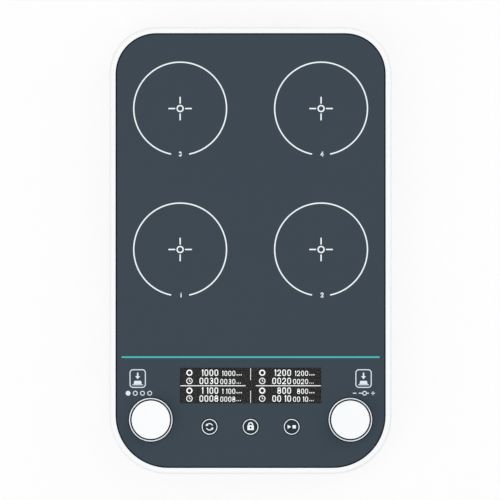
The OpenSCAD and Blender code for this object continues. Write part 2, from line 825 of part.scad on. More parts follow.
// Leads from the motors to the drive board
module motor_leads() {
    color("orange")
    for (s = [-1, 1]) {
        lead(s * (pos_x - front_lane), front_row_y, motor_z, lead_end_y);
        lead(s * (pos_x - rear_lane), rear_row_y, motor_z, lead_end_y);
    }
}

// Leads from the inlet and the switch to the drive board
module power_leads() {
    color("firebrick") {
        lead(inlet_x, wall_y + inlet_flange_t - inlet_l, port_z, lead_end_y);
        lead(power_switch_x, switch_end_y, port_z, lead_end_y);
    }
}

// Ribbon between the plugs of the two boards
module ribbon_cable() {
    color("lightgray")
    translate([-ribbon_w / 2, 0, 0]) rotate([90, 0, 90]) linear_extrude(ribbon_w)
        ribbon_section(ribbon_y, board_z - plug_h, ribbon_y + ribbon_step, drive_top_z + plug_h);
}

// Side view of the ribbon, with a step half way down
module ribbon_section(top_y, top_z, low_y, low_z) {
    mid_z = (top_z + low_z) / 2;
    half_t = ribbon_t / 2;
    translate([top_y - half_t, mid_z - half_t]) square([ribbon_t, top_z - mid_z + half_t]);
    translate([low_y - half_t, low_z]) square([ribbon_t, mid_z - low_z + half_t]);
    translate([top_y - half_t, mid_z - half_t]) square([low_y - top_y + ribbon_t, ribbon_t]);
}

// Round socket in the rear wall for a power plug
module power_inlet() {
    color("black")
    translate([inlet_x, wall_y + inlet_flange_t, port_z]) rotate([90, 0, 0]) {
        difference() {
            union() {
                cylinder(d = inlet_flange_d, h = inlet_flange_t);
                cylinder(d = inlet_barrel_d, h = inlet_l);
            }
            translate([0, 0, -cut]) cylinder(d = inlet_bore_d, h = inlet_bore_depth + cut);
        }
        translate([0, 0, inlet_pin_recess]) cylinder(d = inlet_pin_d, h = inlet_bore_depth);
    }
}

// Nut that holds the inlet from inside
module inlet_nut() {
    color("silver")
    translate([inlet_x, wall_y - wall_t, port_z]) rotate([90, 0, 0])
        linear_extrude(inlet_nut_t) difference() {
            circle(d = inlet_nut_af / cos(30), $fn = 6);
            circle(d = inlet_barrel_d + 2 * turn_fit);
        }
}

// Body of the power switch with its flange outside the wall
module power_switch() {
    color("black")
    translate([power_switch_x, 0, port_z]) {
        difference() {
            union() {
                translate([0, wall_y - switch_body_l / 2, 0])
                    cube([switch_body_w, switch_body_l, switch_body_h], center = true);
                translate([0, wall_y + switch_flange_t / 2, 0])
                    cube([switch_flange_w, switch_flange_t, switch_flange_h], center = true);
            }
            translate([0, wall_y + cut + (switch_flange_t - pocket_depth) / 2, 0])
                cube([pocket_w, pocket_depth + switch_flange_t + 2 * cut, pocket_h], center = true);
            translate([0, pivot_y, -(pivot_l + slide_gap) / 2])
                cylinder(d = rocker_pivot_d + 2 * turn_fit, h = pivot_l + slide_gap);
        }
        for (s = [-1, 1])
            translate([s * (lead_w - lead_t) / 2, switch_end_y + (terminal_l + cut) / 2, 0])
                cube([lead_t, terminal_l + cut, lead_w], center = true);
    }
}

// Rocker on its pivot, tipped to the off side
module power_rocker() {
    color("dimgray")
    translate([power_switch_x, pivot_y, port_z]) rotate([0, 0, -rocker_throw / 2]) {
        translate([0, 0, -rocker_h / 2]) linear_extrude(rocker_h) polygon([
            [-rocker_w / 2, rocker_tip], [0, rocker_rise], [rocker_w / 2, rocker_tip],
            [rocker_keel_x, -rocker_keel], [-rocker_keel_x, -rocker_keel]
        ]);
        translate([0, 0, -pivot_l / 2]) cylinder(d = rocker_pivot_d, h = pivot_l);
    }
}

// Four rubber feet, each sunk a little into the base pan
module rubber_feet() {
    color("black")
    for (p = foot_points) at(p) {
        translate([0, 0, edge_r / 2]) cylinder(d = foot_d, h = foot_h + foot_seat - edge_r / 2);
        cylinder(d1 = foot_d - edge_r, d2 = foot_d, h = edge_r / 2);
    }
}

// Screws up through the base pan into the posts of the upper housing
module case_screws() {
    color("silver")
    for (p = case_points) at(p, base_z + counterbore_h) mirror([0, 0, 1])
        screw(floor_t + boss_h - counterbore_h + screw_bite);
}

// Rings that line the knob holes of the panel
module knob_bezels() {
    color("white")
    for (p = knob_places) at(p, panel_z) linear_extrude(panel_t + bezel_proud) difference() {
        circle(d = bezel_d);
        circle(d = bezel_d - 2 * bezel_w);
    }
}

// Section of a knob from its axis out
module knob_section() {
    square([knob_d / 2, knob_h - knob_edge_r]);
    square([knob_d / 2 - knob_edge_r, knob_h]);
    translate([knob_d / 2 - knob_edge_r, knob_h - knob_edge_r]) circle(knob_edge_r);
}

// Hollow knob with a hub for the encoder shaft
module knob(side) {
    color("white")
    at(knob_places[side]) difference() {
        translate([0, 0, knob_z]) rotate_extrude() knob_section();
        difference() {
            translate([0, 0, knob_z - cut])
                cylinder(d = knob_d - 2 * knob_wall, h = knob_roof_z - knob_z + cut);
            translate([0, 0, hub_z]) cylinder(d = knob_hub_d, h = knob_h);
        }
        translate([0, 0, hub_z - cut])
            linear_extrude(knob_roof_z - hub_z + cut) flat_shaft_section(press_fit);
    }
}

// Flatted shaft from the encoder up into the knob
module encoder_shaft(side) {
    color("lightgray")
    at(knob_places[side], shaft_z) linear_extrude(knob_roof_z - shaft_z - stop_gap) flat_shaft_section();
}

// Encoder body on the board, with its threaded bush up through the deck
module encoder(side) {
    color("dimgray")
    at(knob_places[side]) difference() {
        union() {
            translate([0, 0, board_top_z + encoder_h / 2])
                cube([encoder_w, encoder_w, encoder_h], center = true);
            translate([0, 0, deck_z - cut]) cylinder(d = bush_d, h = bush_z - deck_z + cut);
        }
        translate([0, 0, board_top_z + encoder_floor_t])
            cylinder(d = encoder_shaft_d + 2 * turn_fit, h = bush_z - board_top_z);
        translate([0, 0, rotor_space_z]) cylinder(d = rotor_d + 2 * slide_gap, h = rotor_space);
    }
}

// Ring inside an encoder that turns with the shaft and lets it slide
module encoder_rotor(side) {
    color("orange")
    at(knob_places[side], rotor_space_z + slide_gap) linear_extrude(rotor_t) difference() {
        circle(d = rotor_d);
        flat_shaft_section(turn_fit);
    }
}

// Nuts that hold the encoders to the deck
module encoder_nuts() {
    color("silver")
    for (p = knob_places) at(p, deck_top_z) linear_extrude(nut_t) difference() {
        circle(nut_r, $fn = 6);
        circle(d = bush_d + 2 * turn_fit);
    }
}

// Rings round the keys, set into the panel
module key_rings() {
    color("lightgray")
    for (p = key_places) at(p, panel_z) linear_extrude(panel_t + key_ring_proud) difference() {
        circle(d = key_ring_d);
        circle(d = key_hole_d);
    }
}

// Key with a flange under the deck and a post that bears on the plunger
module key(index) {
    color("darkslategray")
    at(key_places[index], key_flange_z) difference() {
        union() {
            cylinder(d = key_d, h = key_h);
            cylinder(d = key_flange_d, h = key_flange_t);
        }
        difference() {
            translate([0, 0, -cut])
                cylinder(d = key_d - 2 * key_skin_t, h = key_h - key_skin_t + cut);
            cylinder(d = plunger_d, h = key_h);
        }
    }
}

// Plunger of a tact switch, under its key
module plunger(index) {
    color("black")
    at(key_places[index], plunger_z) cylinder(d = plunger_d, h = key_flange_z - plunger_z);
}

// Switches on the board under the keys
module tact_switches() {
    color("silver")
    for (p = key_places) at(p, board_top_z) difference() {
        translate([0, 0, switch_h / 2]) cube([switch_w, switch_w, switch_h], center = true);
        translate([0, 0, switch_h - plunger_depth - key_travel - stop_gap])
            cylinder(d = plunger_d + 2 * slide_gap, h = switch_h);
    }
}

base_pan();
upper_housing();
top_panel();
panel_gasket();
display_window();
display_glass();
display_frame();
control_board();
control_components();
control_board_screws();
drive_board();
drive_components();
drive_board_screws();
motor_plate();
plate_screws();
motor(0);  // motor_1
motor(1);  // motor_2
motor(2);  // motor_3
motor(3);  // motor_4
motor_screws();
motor_shaft(0);  // motor_shaft_1
motor_shaft(1);  // motor_shaft_2
motor_shaft(2);  // motor_shaft_3
motor_shaft(3);  // motor_shaft_4
magnet_holder(0);  // magnet_holder_1
magnet_holder(1);  // magnet_holder_2
magnet_holder(2);  // magnet_holder_3
magnet_holder(3);  // magnet_holder_4
magnets(0);  // magnets_1
magnets(1);  // magnets_2
magnets(2);  // magnets_3
magnets(3);  // magnets_4
motor_leads();
power_leads();
ribbon_cable();
power_inlet();
inlet_nut();
power_switch();
power_rocker();
rubber_feet();
case_screws();
knob_bezels();
knob(0);  // position_knob
knob(1);  // setting_knob
encoder_shaft(0);  // position_shaft
encoder_shaft(1);  // setting_shaft
encoder(0);  // position_encoder
encoder(1);  // setting_encoder
encoder_rotor(0);  // position_rotor
encoder_rotor(1);  // setting_rotor
encoder_nuts();
key_rings();
key(0);  // sync_key
key(1);  // lock_key
key(2);  // run_key
plunger(0);  // sync_plunger
plunger(1);  // lock_plunger
plunger(2);  // run_plunger
tact_switches();
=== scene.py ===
"""Dresses the four-place magnetic stirrer: printed marks, display, knobs, keys, feet and finishes.

All lengths are in metres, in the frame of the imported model: X to the right, Y to the rear, Z up.
"""
import json
import math

import bpy
import numpy as np
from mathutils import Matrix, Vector


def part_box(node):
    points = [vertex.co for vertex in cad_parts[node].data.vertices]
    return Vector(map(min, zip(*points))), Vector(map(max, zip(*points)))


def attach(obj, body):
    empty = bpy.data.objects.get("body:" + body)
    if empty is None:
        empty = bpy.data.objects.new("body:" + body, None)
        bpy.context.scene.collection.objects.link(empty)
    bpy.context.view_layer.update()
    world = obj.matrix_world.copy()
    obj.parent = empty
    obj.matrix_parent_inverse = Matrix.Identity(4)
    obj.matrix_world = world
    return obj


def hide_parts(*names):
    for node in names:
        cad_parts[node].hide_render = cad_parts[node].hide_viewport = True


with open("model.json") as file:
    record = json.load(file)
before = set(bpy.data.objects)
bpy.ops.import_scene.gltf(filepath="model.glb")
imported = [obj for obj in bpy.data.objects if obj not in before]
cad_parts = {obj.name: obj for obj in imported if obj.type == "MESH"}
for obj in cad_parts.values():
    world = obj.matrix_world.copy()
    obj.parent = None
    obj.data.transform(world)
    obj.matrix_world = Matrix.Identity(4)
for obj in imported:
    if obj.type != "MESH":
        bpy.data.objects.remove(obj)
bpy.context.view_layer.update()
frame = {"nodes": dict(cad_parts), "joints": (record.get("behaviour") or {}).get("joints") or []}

bl_info = {
    "name": "Stirrer dressing",
    "version": (1, 0, 0),
    "blender": (4, 5, 0),
    "location": "View3D > Sidebar > Stirrer",
    "description": "Marks, display, knobs, keys, feet and finishes of a four-place magnetic stirrer",
    "category": "Object",
}

PLACES = ("1", "2", "3", "4")
KNOBS = ("position", "setting")
KEYS = ("sync", "lock", "run")
ROUND_STEPS = 96
SHARP_ANGLE = math.radians(35)
WHITE = (1.0, 1.0, 1.0)


def middle(node):
    """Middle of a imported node's box."""
    low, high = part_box(node)
    return (low + high) / 2


def plan(point):
    """The x and y of a point."""
    return np.array(point[:2])


PANEL_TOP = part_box("top_panel")[1].z
WINDOW_MIDDLE = plan(middle("display_window"))


def length(title, words, default):
    """A length property."""
    return bpy.props.FloatProperty(
        name=title, description=words, default=default, min=0.0, precision=5, unit="LENGTH"
    )


def colour(title, words, *levels):
    """A colour property with a default in display levels from 0 to 255."""
    return bpy.props.FloatVectorProperty(
        name=title, description=words, default=linear(*levels), min=0.0, max=1.0, size=3, subtype="COLOR"
    )


def linear(*levels):
    """Linear values of a colour that is written in display levels from 0 to 255."""
    shares = np.array(levels) / 255
    return tuple(np.where(shares <= 0.04045, shares / 12.92, ((shares + 0.055) / 1.055) ** 2.4).tolist())


class StirrerSizes(bpy.types.PropertyGroup):
    """Sizes of the dressing."""

    print_rise: length("Print rise", "Height of the printed marks above what carries them", 0.00004)
    ring_radius: length("Ring radius", "Radius of the printed ring of a stirring place", 0.0348)
    ring_gap: bpy.props.FloatProperty(
        name="Ring gap", description="Angle that the ring leaves open at the front for its number",
        default=math.radians(22.4), subtype="ANGLE",
    )
    mark_line: length("Mark line", "Width of the printed lines of a stirring place", 0.00097)
    hub_radius: length("Hub radius", "Radius of the small circle on a stirring axis", 0.00225)
    arm_start: length("Arm start", "Distance from the stirring axis to the start of a cross arm", 0.0037)
    arm_end: length("Arm end", "Distance from the stirring axis to the end of a cross arm", 0.0088)
    number_height: length("Number height", "Height of a place number", 0.0037)
    number_line: length("Number line", "Line width of a place number", 0.0007)
    line_place: length("Line place", "Distance of the coloured line from the middle of the display", 0.02125)
    line_length: length("Line length", "Length of the coloured line", 0.1936)
    line_width: length("Line width", "Width of the coloured line", 0.00125)
    box_reach: length("Box reach", "Distance of an outlined box from the middle of the panel", 0.0847)
    box_place: length("Box place", "Distance of an outlined box behind the middle of the display", 0.0052)
    box_width: length("Box width", "Width of an outlined box", 0.0115)
    box_height: length("Box height", "Height of an outlined box", 0.01325)
    box_corner: length("Box corner", "Corner radius of an outlined box", 0.0023)
    box_line: length("Box line", "Line width of an outlined box", 0.0007)
    sign_drop: length("Sign drop", "Distance from the middle of a box to the sign in front of it", 0.0110)
    digit_height: length("Digit height", "Height of the large display digits", 0.0048)
    small_digit_height: length("Small digit height", "Height of the small display digits", 0.00385)
    divider_line: length("Divider line", "Width of the lines between the display fields", 0.0006)
    flute_depth: length("Flute depth", "Depth of the grip flutes round a knob", 0.00022)
    knob_dish: length("Knob dish", "Depth of the hollow in the top of a knob", 0.00025)
    foot_groove: length("Foot groove", "Depth of the grooves under a foot", 0.0006)


class StirrerColours(bpy.types.PropertyGroup):
    """Colours of the dressing."""

    casing: colour("Casing", "Upper casing and knobs", 247, 249, 250)
    bezel: colour("Bezel", "Rings round the knobs", 239, 247, 255)
    base: colour("Base", "Base pan", 207, 210, 212)
    panel: colour("Panel", "Top panel", 55, 66, 76)
    # Near-black tone of the foam gasket: a real foam sheet, darkened so the gap round the panel reads as a
    # shadow line, which is painted shade.
    gasket: colour("Gasket", "Foam sheet that shows in the gap round the panel", 14, 14, 15)
    ink: colour("Ink", "Printed marks", 244, 252, 255)
    faint_ink: colour("Faint ink", "Boxes and signs by the knobs", 228, 237, 249)
    accent: colour("Accent", "Coloured line", 66, 185, 184)
    key: colour("Key", "Keys", 28, 40, 49)
    ring: colour("Ring", "Rings round the keys", 234, 246, 255)
    window: colour("Window", "Display pane", 44, 44, 44)
    cell: colour("Cell", "Display behind the pane", 40, 40, 40)
    digits: colour("Digits", "Lit parts of the display", 250, 252, 252)
    rubber: colour("Rubber", "Feet", 42, 43, 45)


def grid_faces(rows, columns, round_rows, round_columns):
    """Quads between neighbouring points of a grid, which meets itself where it goes round."""
    row = np.arange(rows if round_rows else rows - 1)
    column = np.arange(columns if round_columns else columns - 1)
    row, column = (index.ravel() for index in np.meshgrid(row, column, indexing="ij"))
    next_row, next_column = (row + 1) % rows, (column + 1) % columns
    corners = (row * columns + column, row * columns + next_column,
               next_row * columns + next_column, next_row * columns + column)
    return np.stack(corners, axis=1)


def lofted(loops, closed=False):
    """Skin over a stack of loops with equally many points, the grid of loop against point. A plain stack
    ends in a flat face on its first and last loop, and a closed one joins its last loop to its first."""
    loops = np.asarray(loops, float)
    count = loops.shape[1]
    faces = [grid_faces(len(loops), count, closed, True)]
    if not closed:
        around = np.arange(count)
        faces += [around[None, ::-1], (len(loops) - 1) * count + around[None]]
    return loops.reshape(-1, 3), faces


def level(outline, height):
    """An outline in plan, lifted to one height."""
    return np.hstack([outline, np.full((len(outline), 1), height)])


def turned(profile, centre, ring=False, flutes=0, depths=0.0, steps=ROUND_STEPS):
    """Surface of revolution: profile point (r, z) runs round the upright axis through centre at
    x = cx + q cos a, y = cy + q sin a, with q = r - depth (1 - cos(flutes a)) / 2. A ring's profile is a
    closed loop against the clock, and any other runs from a flat face below to a flat face above."""
    profile = np.asarray(profile, float)
    angle = np.linspace(0, 2 * np.pi, steps, endpoint=False)
    radius = profile[:, :1] - np.reshape(depths, (-1, 1)) * (1 - np.cos(flutes * angle)) / 2
    height = np.repeat(profile[:, 1:], steps, axis=1)
    loops = [centre[0] + radius * np.cos(angle), centre[1] + radius * np.sin(angle), height]
    return lofted(np.stack(loops, axis=2), closed=ring)


def rounded(corners, radii, closed=False, steps=7):
    """Outline with arcs for corners: with t the tangent length r / tan(half the corner's angle), an arc runs
    from the point t before its corner to the point t after it, about a centre on the corner's bisector."""
    corners = np.asarray(corners, float)
    share = np.linspace(0, 1, steps)[:, None]
    out = []
    for k, (corner, radius) in enumerate(zip(corners, radii)):
        if radius == 0 or (not closed and k in (0, len(corners) - 1)):
            out.append(corner[None])
            continue
        before = corners[k - 1] - corner
        after = corners[(k + 1) % len(corners)] - corner
        before, after = before / np.linalg.norm(before), after / np.linalg.norm(after)
        half = math.acos(before @ after) / 2
        centre = corner + (before + after) / np.linalg.norm(before + after) * radius / math.sin(half)
        start = corner + before * radius / math.tan(half) - centre
        end = corner + after * radius / math.tan(half) - centre
        sweep = math.pi - 2 * half
        turn = np.sin((1 - share) * sweep) * start + np.sin(share * sweep) * end
        out.append(centre + turn / math.sin(sweep))
    return np.concatenate(out)


def lip_ring(centre, inner, outer, low, high, radii, steps=ROUND_STEPS):
    """A turned ring: a rectangle between two radii and two heights, with its four corners rounded."""
    corners = [(inner, low), (outer, low), (outer, high), (inner, high)]
    return turned(rounded(corners, radii, closed=True), centre, ring=True, steps=steps)


def arc(centre, radius, start, end, steps=24):
    """Points of a circle arc: centre + radius (cos a, sin a), with a in degrees from start to end."""
    angle = np.radians(np.linspace(start, end, steps))
    return np.asarray(centre) + radius * np.stack([np.cos(angle), np.sin(angle)], axis=1)


def circle(centre, radius, steps=48):
    """Points of a whole circle, without the last one over the first."""
    return arc(centre, radius, 0, 360, steps + 1)[:-1]


def box_path(centre, width, height, corner):
    """Rounded rectangle in plan, against the clock from its front right corner."""
    x, y = width / 2, height / 2
    corners = np.array([(x, -y), (x, y), (-x, y), (-x, -y)]) + np.asarray(centre)
    return rounded(corners, (corner,) * 4, closed=True)


def turned_to(shape, axes, shift):
    """A shape whose own x, y and z are laid along three axes and then shifted."""
    points, faces = shape
    return points @ np.array(axes) + shift, faces


# Middle lines of the numerals, one unit high: closed loops, open strokes, and their stretch in x and y.
LOOPS = {
    "0": [box_path((0.30, 0.5), 0.60, 1.0, 0.27)],
    "8": [box_path((0.30, 0.76), 0.52, 0.48, 0.22), box_path((0.30, 0.26), 0.60, 0.52, 0.24)],
}
STROKES = {
    "1": [np.array([(0.14, 0.0), (0.14, 1.0)]), np.array([(0.05, 0.88), (0.11, 0.94)])],
    "2": [np.append(arc((0.31, 0.69), 0.31, 165, -35), [(0.10, 0.09)], axis=0),
          np.array([(0.0, 0.0), (0.62, 0.0)])],
    "3": [arc((0.29, 0.75), 0.25, 150, -90), arc((0.29, 0.27), 0.27, 90, -150)],
    "4": [np.array([(0.45, 0.0), (0.45, 1.0)]), np.array([(0.33, 0.82), (0.0, 0.32), (0.66, 0.32)])],
}
NUMERALS = LOOPS | STROKES
SLIM = np.array((0.87, 1.0))


class Print:
    """Flat print on a level face: what is drawn stands on the height base and is rise thick."""

    def __init__(self, base, rise):
        self.base, self.top = base, base + rise
        self.shapes = []

    def line(self, path, width, closed=False, cap=0.0):
        """A rectangle, width across, carried along a path in plan and past its ends by cap. At a bend its
        sides lie on the mitre, the sum of the path's normals before and after over 1 + their dot product."""
        path = np.array(path, float)
        step = np.diff(np.concatenate([path, path[:1]]) if closed else path, axis=0)
        step /= np.linalg.norm(step, axis=1, keepdims=True)
        path[0] -= cap * step[0]
        path[-1] += cap * step[-1]
        normal = np.stack([-step[:, 1], step[:, 0]], axis=1)
        before = np.roll(normal, 1, axis=0) if closed else np.concatenate([normal[:1], normal])
        after = normal if closed else np.concatenate([normal, normal[-1:]])
        mitre = (before + after) / (1 + np.sum(before * after, axis=1, keepdims=True)) * width / 2
        left, right = path + mitre, path - mitre
        sections = [
            level(left, self.top), level(right, self.top), level(right, self.base), level(left, self.base),
        ]
        self.shapes.append(lofted(np.stack(sections, axis=1), closed))

    def patch(self, outline):
        """An outline in plan, run against the clock, carried straight up."""
        outline = np.asarray(outline, float)
        self.shapes.append(lofted([level(outline, self.base), level(outline, self.top)]))

    def holed_patch(self, outline, hole):
        """A patch between an outline and a hole with as many points: four loops joined all round."""
        loops = [level(path, height) for path, height in (
            (outline, self.base), (outline, self.top), (hole, self.top), (hole, self.base),
        )]
        self.shapes.append(lofted(loops, closed=True))

    def numeral(self, sign, foot, height, line, share):
        """A numeral that stands on foot, with that share of its width to the left of it."""
        scale = (height - line) * SLIM
        width = max(path[:, 0].max() for path in NUMERALS[sign]) * scale[0]
        corner = np.asarray(foot) + (line / 2 - share * (width + line), line / 2)
        closed = sign in LOOPS
        for path in NUMERALS[sign]:
            self.line(corner + path * scale, line, closed, cap=0.0 if closed else line / 2)


def piece(name, shapes, body, finish, replaced=()):
    """One mesh object from shapes, at the origin with its place in its mesh. It rides on its body."""
    old = bpy.data.objects.get(name)
    if old:
        bpy.data.objects.remove(old)
    faces, first = [], 0
    for points, groups in shapes:
        for group in groups:
            faces += (first + group).tolist()
        first += len(points)
    mesh = bpy.data.meshes.new(name)
    mesh.from_pydata(np.concatenate([points for points, _ in shapes]).tolist(), [], faces)
    if mesh.validate():
        raise RuntimeError(f"{name} has faces that are not valid")
    mesh.shade_smooth()
    mesh.set_sharp_from_angle(angle=SHARP_ANGLE)
    mesh.materials.append(bpy.data.materials[f"{finish}_finish"])
    made = bpy.data.objects.new(name, mesh)
    bpy.context.scene.collection.objects.link(made)
    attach(made, body)
    if replaced:
        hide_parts(*replaced)


class Wire:
    """An output socket. Python maths on it adds Math nodes to its tree."""

    def __init__(self, tree, socket):
        self.tree = tree
        self.socket = socket

    def maths(self, operation, first, second):
        """A Math node with one operation."""
        return self.tree.add("ShaderNodeMath", {"operation": operation}, Value=first, Value_001=second)

    def __add__(self, other):
        return self.maths("ADD", self, other)

    __radd__ = __add__

    def __sub__(self, other):
        return self.maths("SUBTRACT", self, other)

    def __rsub__(self, other):
        return self.maths("SUBTRACT", other, self)

    def __mul__(self, other):
        return self.maths("MULTIPLY", self, other)

    __rmul__ = __mul__

    def __gt__(self, other):
        return self.maths("GREATER_THAN", self, other)

    def __lt__(self, other):
        return self.maths("LESS_THAN", self, other)


class Tree:
    """Node tree of a material or of the world."""

    def __init__(self, owner):
        owner.use_nodes = True
        self.nodes = owner.node_tree.nodes
        self.links = owner.node_tree.links
        self.nodes.clear()

    def add(self, kind, settings=None, out=0, **sockets):
        """Adds a node: its settings first, then a value or a wire for each socket. A socket goes by its
        identifier, with two underscores for a blank. Gives back a wire from one output."""
        node = self.nodes.new(kind)
        for key, value in (settings or {}).items():
            setattr(node, key, value)
        inputs = {socket.identifier.replace(" ", "__"): socket for socket in node.inputs}
        for key, value in sockets.items():
            if isinstance(value, Wire):
                self.links.new(value.socket, inputs[key])
            elif inputs[key].type == "RGBA":
                inputs[key].default_value = (*value, 1.0)
            else:
                inputs[key].default_value = value
        outputs = {socket.identifier: socket for socket in node.outputs} if out else node.outputs
        return Wire(self, outputs[out]) if node.outputs else None

    def place(self, scale=(1.0, 1.0, 1.0), turn=0.0):
        """Object coordinates, turned about Z and stretched."""
        here = self.add("ShaderNodeTexCoord", out="Object")
        return self.add("ShaderNodeMapping", Vector=here, Scale=scale, Rotation=(0.0, 0.0, turn))

    def noise(self, scale, detail=2.0, where=None):
        """Noise from 0 to 1 with so many waves to the metre."""
        where = where or self.add("ShaderNodeTexCoord", out="Object")
        return self.add("ShaderNodeTexNoise", Vector=where, Scale=scale, Detail=detail)

    def mix(self, factor, first, second):
        """Colour between two others."""
        return self.add(
            "ShaderNodeMix", {"data_type": "RGBA"}, out="Result_Color",
            Factor_Float=factor, A_Color=first, B_Color=second,
        )

    def bump(self, height, distance):
        """Surface normal with a relief so many metres high on it."""
        return self.add("ShaderNodeBump", Height=height, Distance=distance)

    def finish(self, **sockets):
        """Ends a material in one Principled shader."""
        shader = self.add("ShaderNodeBsdfPrincipled", **sockets)
        self.add("ShaderNodeOutputMaterial", Surface=shader)


def finish_tree(name):
    """The empty node tree of a new finish."""
    old = bpy.data.materials.get(f"{name}_finish")
    if old:
        bpy.data.materials.remove(old)
    return Tree(bpy.data.materials.new(f"{name}_finish"))


def shade(tone, factor):
    """A colour made lighter or darker."""
    return tuple(min(1.0, channel * factor) for channel in tone)


def moulded(name, tone, rough=0.45, grain=1500.0, depth=0.000015, gloss=0.35):
    """Moulded plastic: a slow drift in tone, a fine even grain in the surface and faint handling marks."""
    tree = finish_tree(name)
    drift = tree.noise(16.0, 3.0)
    fine = tree.noise(grain)
    marks = tree.noise(9.0, 6.0, tree.place(scale=(1.0, 6.0, 1.0), turn=0.6))
    tree.finish(
        Base__Color=tree.mix(drift, shade(tone, 0.972), shade(tone, 1.012)),
        Roughness=rough + 0.10 * (fine - 0.5) + 0.12 * (marks - 0.5),
        Normal=tree.bump(fine, depth),
        Specular__IOR__Level=gloss,
    )


def coated(name, tone):
    """Coated panel: fine orange peel, a speckle of slightly lighter grains and a soft drift in gloss."""
    tree = finish_tree(name)
    peel = tree.noise(1100.0, 3.0)
    speckle = tree.noise(3600.0, 1.0)
    drift = tree.noise(11.0, 4.0)
    grains = tree.mix(speckle, shade(tone, 0.90), shade(tone, 1.10))
    tree.finish(
        Base__Color=tree.mix(drift * 0.5, grains, shade(tone, 1.04)),
        Roughness=0.58 + 0.10 * (peel - 0.5) + 0.14 * (drift - 0.5),
        Normal=tree.bump(peel, 0.00002),
        Specular__IOR__Level=0.12,
    )


def printed(name, tone, glow=0.0):
    """Screen print: a slightly uneven film of ink with pin marks of the mesh. A lit one glows."""
    tree = finish_tree(name)
    film = tree.noise(420.0, 3.0)
    pins = tree.noise(5200.0, 1.0)
    tree.finish(
        Base__Color=tree.mix(film, shade(tone, 0.955), tone),
        Roughness=0.5 + 0.16 * (film - 0.5),
        Normal=tree.bump(pins, 0.000006),
        Specular__IOR__Level=0.2,
        Emission__Color=tone,
        Emission__Strength=glow,
    )


def rubber(name, tone):
    """Rubber: matt, with a dusty bloom in patches and a coarse and a fine grain."""
    tree = finish_tree(name)
    bloom = tree.noise(160.0, 5.0)
    coarse = tree.noise(700.0, 3.0)
    fine = tree.noise(2600.0)
    tree.finish(
        Base__Color=tree.mix(bloom * 0.6, tone, shade(tone, 1.9)),
        Roughness=0.74 + 0.2 * (bloom - 0.5),
        Normal=tree.bump(coarse * 0.7 + fine * 0.3, 0.00005),
        Specular__IOR__Level=0.25,
    )


def foam(name, tone):
    """Closed-cell foam: dark, with small open cells at the cut face; for the gasket its near-black tone is
    partly painted shade in the gap where it shows.
    """
    tree = finish_tree(name)
    cells = tree.add("ShaderNodeTexVoronoi", Vector=tree.place(), Scale=2400.0)
    skin = tree.noise(300.0)
    tree.finish(
        Base__Color=tree.mix(cells, shade(tone, 0.7), shade(tone, 1.3)),
        Roughness=0.9 + 0.1 * (skin - 0.5),
        Normal=tree.bump(cells, 0.00006),
        Specular__IOR__Level=0.05,
    )


def metal(name, tone, waves, rough=0.32, blotch=0.10):
    """Drawn or ground metal: hair lines along the way that has the fewest waves, with cloudy tarnish."""
    tree = finish_tree(name)
    hair = tree.noise(1.0, 3.0, tree.place(scale=waves))
    cloud = tree.noise(70.0, 4.0)
    tree.finish(
        Base__Color=tree.mix(cloud, shade(tone, 1.0 - blotch), tone),
        Metallic=1.0,
        Roughness=rough + 0.22 * (hair - 0.5) + 0.16 * (cloud - 0.5),
        Normal=tree.bump(hair, 0.000008),
    )


def board(name, tone):
    """Circuit board: green lacquer over paler tracks on a grid, with tinned dots between them."""
    tree = finish_tree(name)
    track = tree.add(
        "ShaderNodeTexBrick", {"offset": 0.5, "squash": 0.6}, out="Fac",
        Vector=tree.place(), Scale=110.0, Mortar__Size=0.035, Mortar__Smooth=0.1,
        Brick__Width=0.9, Row__Height=0.22,
    )
    dot = tree.add("ShaderNodeTexVoronoi", Vector=tree.place(), Scale=190.0, Randomness=0.35) < 0.16
    weave = tree.noise(1400.0)
    lacquer = tree.mix(track, tone, shade(tone, 1.7))
    tree.finish(
        Base__Color=tree.mix(dot, lacquer, linear(196, 196, 190)),
        Metallic=dot * 0.9,
        Roughness=0.42 - dot * 0.12 + 0.10 * (weave - 0.5),
        Normal=tree.bump(track * 0.6 + dot * 0.4, 0.00003),
    )


def stranded(name, tone, edge, pitch):
    """Flat lead: round cores side by side with painted shade in the grooves between them, every eighth of
    them marked, with a soft skin.
    """
    tree = finish_tree(name)
    bands = {"wave_type": "BANDS", "bands_direction": "X", "wave_profile": "SIN"}
    # At scale 1 the bands of this texture repeat after pi / 10.
    scale = math.pi / (10 * pitch)
    cores = tree.add("ShaderNodeTexWave", bands, out="Fac", Vector=tree.place(), Scale=scale)
    eighths = tree.add("ShaderNodeTexWave", bands, out="Fac", Vector=tree.place(), Scale=scale / 8)
    skin = tree.noise(900.0)
    tree.finish(
        # The colour darkens in the grooves between the cores: painted shade. The eighths stripe is a real
        # marking.
        Base__Color=tree.mix(eighths > 0.96, tree.mix(cores, shade(tone, 0.7), tone), edge),
        Roughness=0.5 + 0.14 * (skin - 0.5),
        Normal=tree.bump(cores, 0.00025),
    )


def pane(name, tone):
    """Smoked display pane: dark and clear with fine wipe marks in its gloss."""
    tree = finish_tree(name)
    wipe = tree.noise(40.0, 5.0, tree.place(scale=(1.0, 7.0, 1.0), turn=0.3))
    tree.finish(
        Base__Color=tree.mix(wipe, shade(tone, 0.9), shade(tone, 1.1)),
        Roughness=0.16 + 0.12 * (wipe - 0.5),
        Alpha=0.12,
        Specular__IOR__Level=0.16,
    )


def cell(name, tone):
    """Display cell: near black glass, with a slow cloud of stray light in it."""
    tree = finish_tree(name)
    cloud = tree.noise(30.0)
    tree.finish(
        Base__Color=tree.mix(cloud, shade(tone, 0.96), shade(tone, 1.04)),
        Roughness=0.2 + 0.1 * (cloud - 0.5),
        Specular__IOR__Level=0.16,
    )


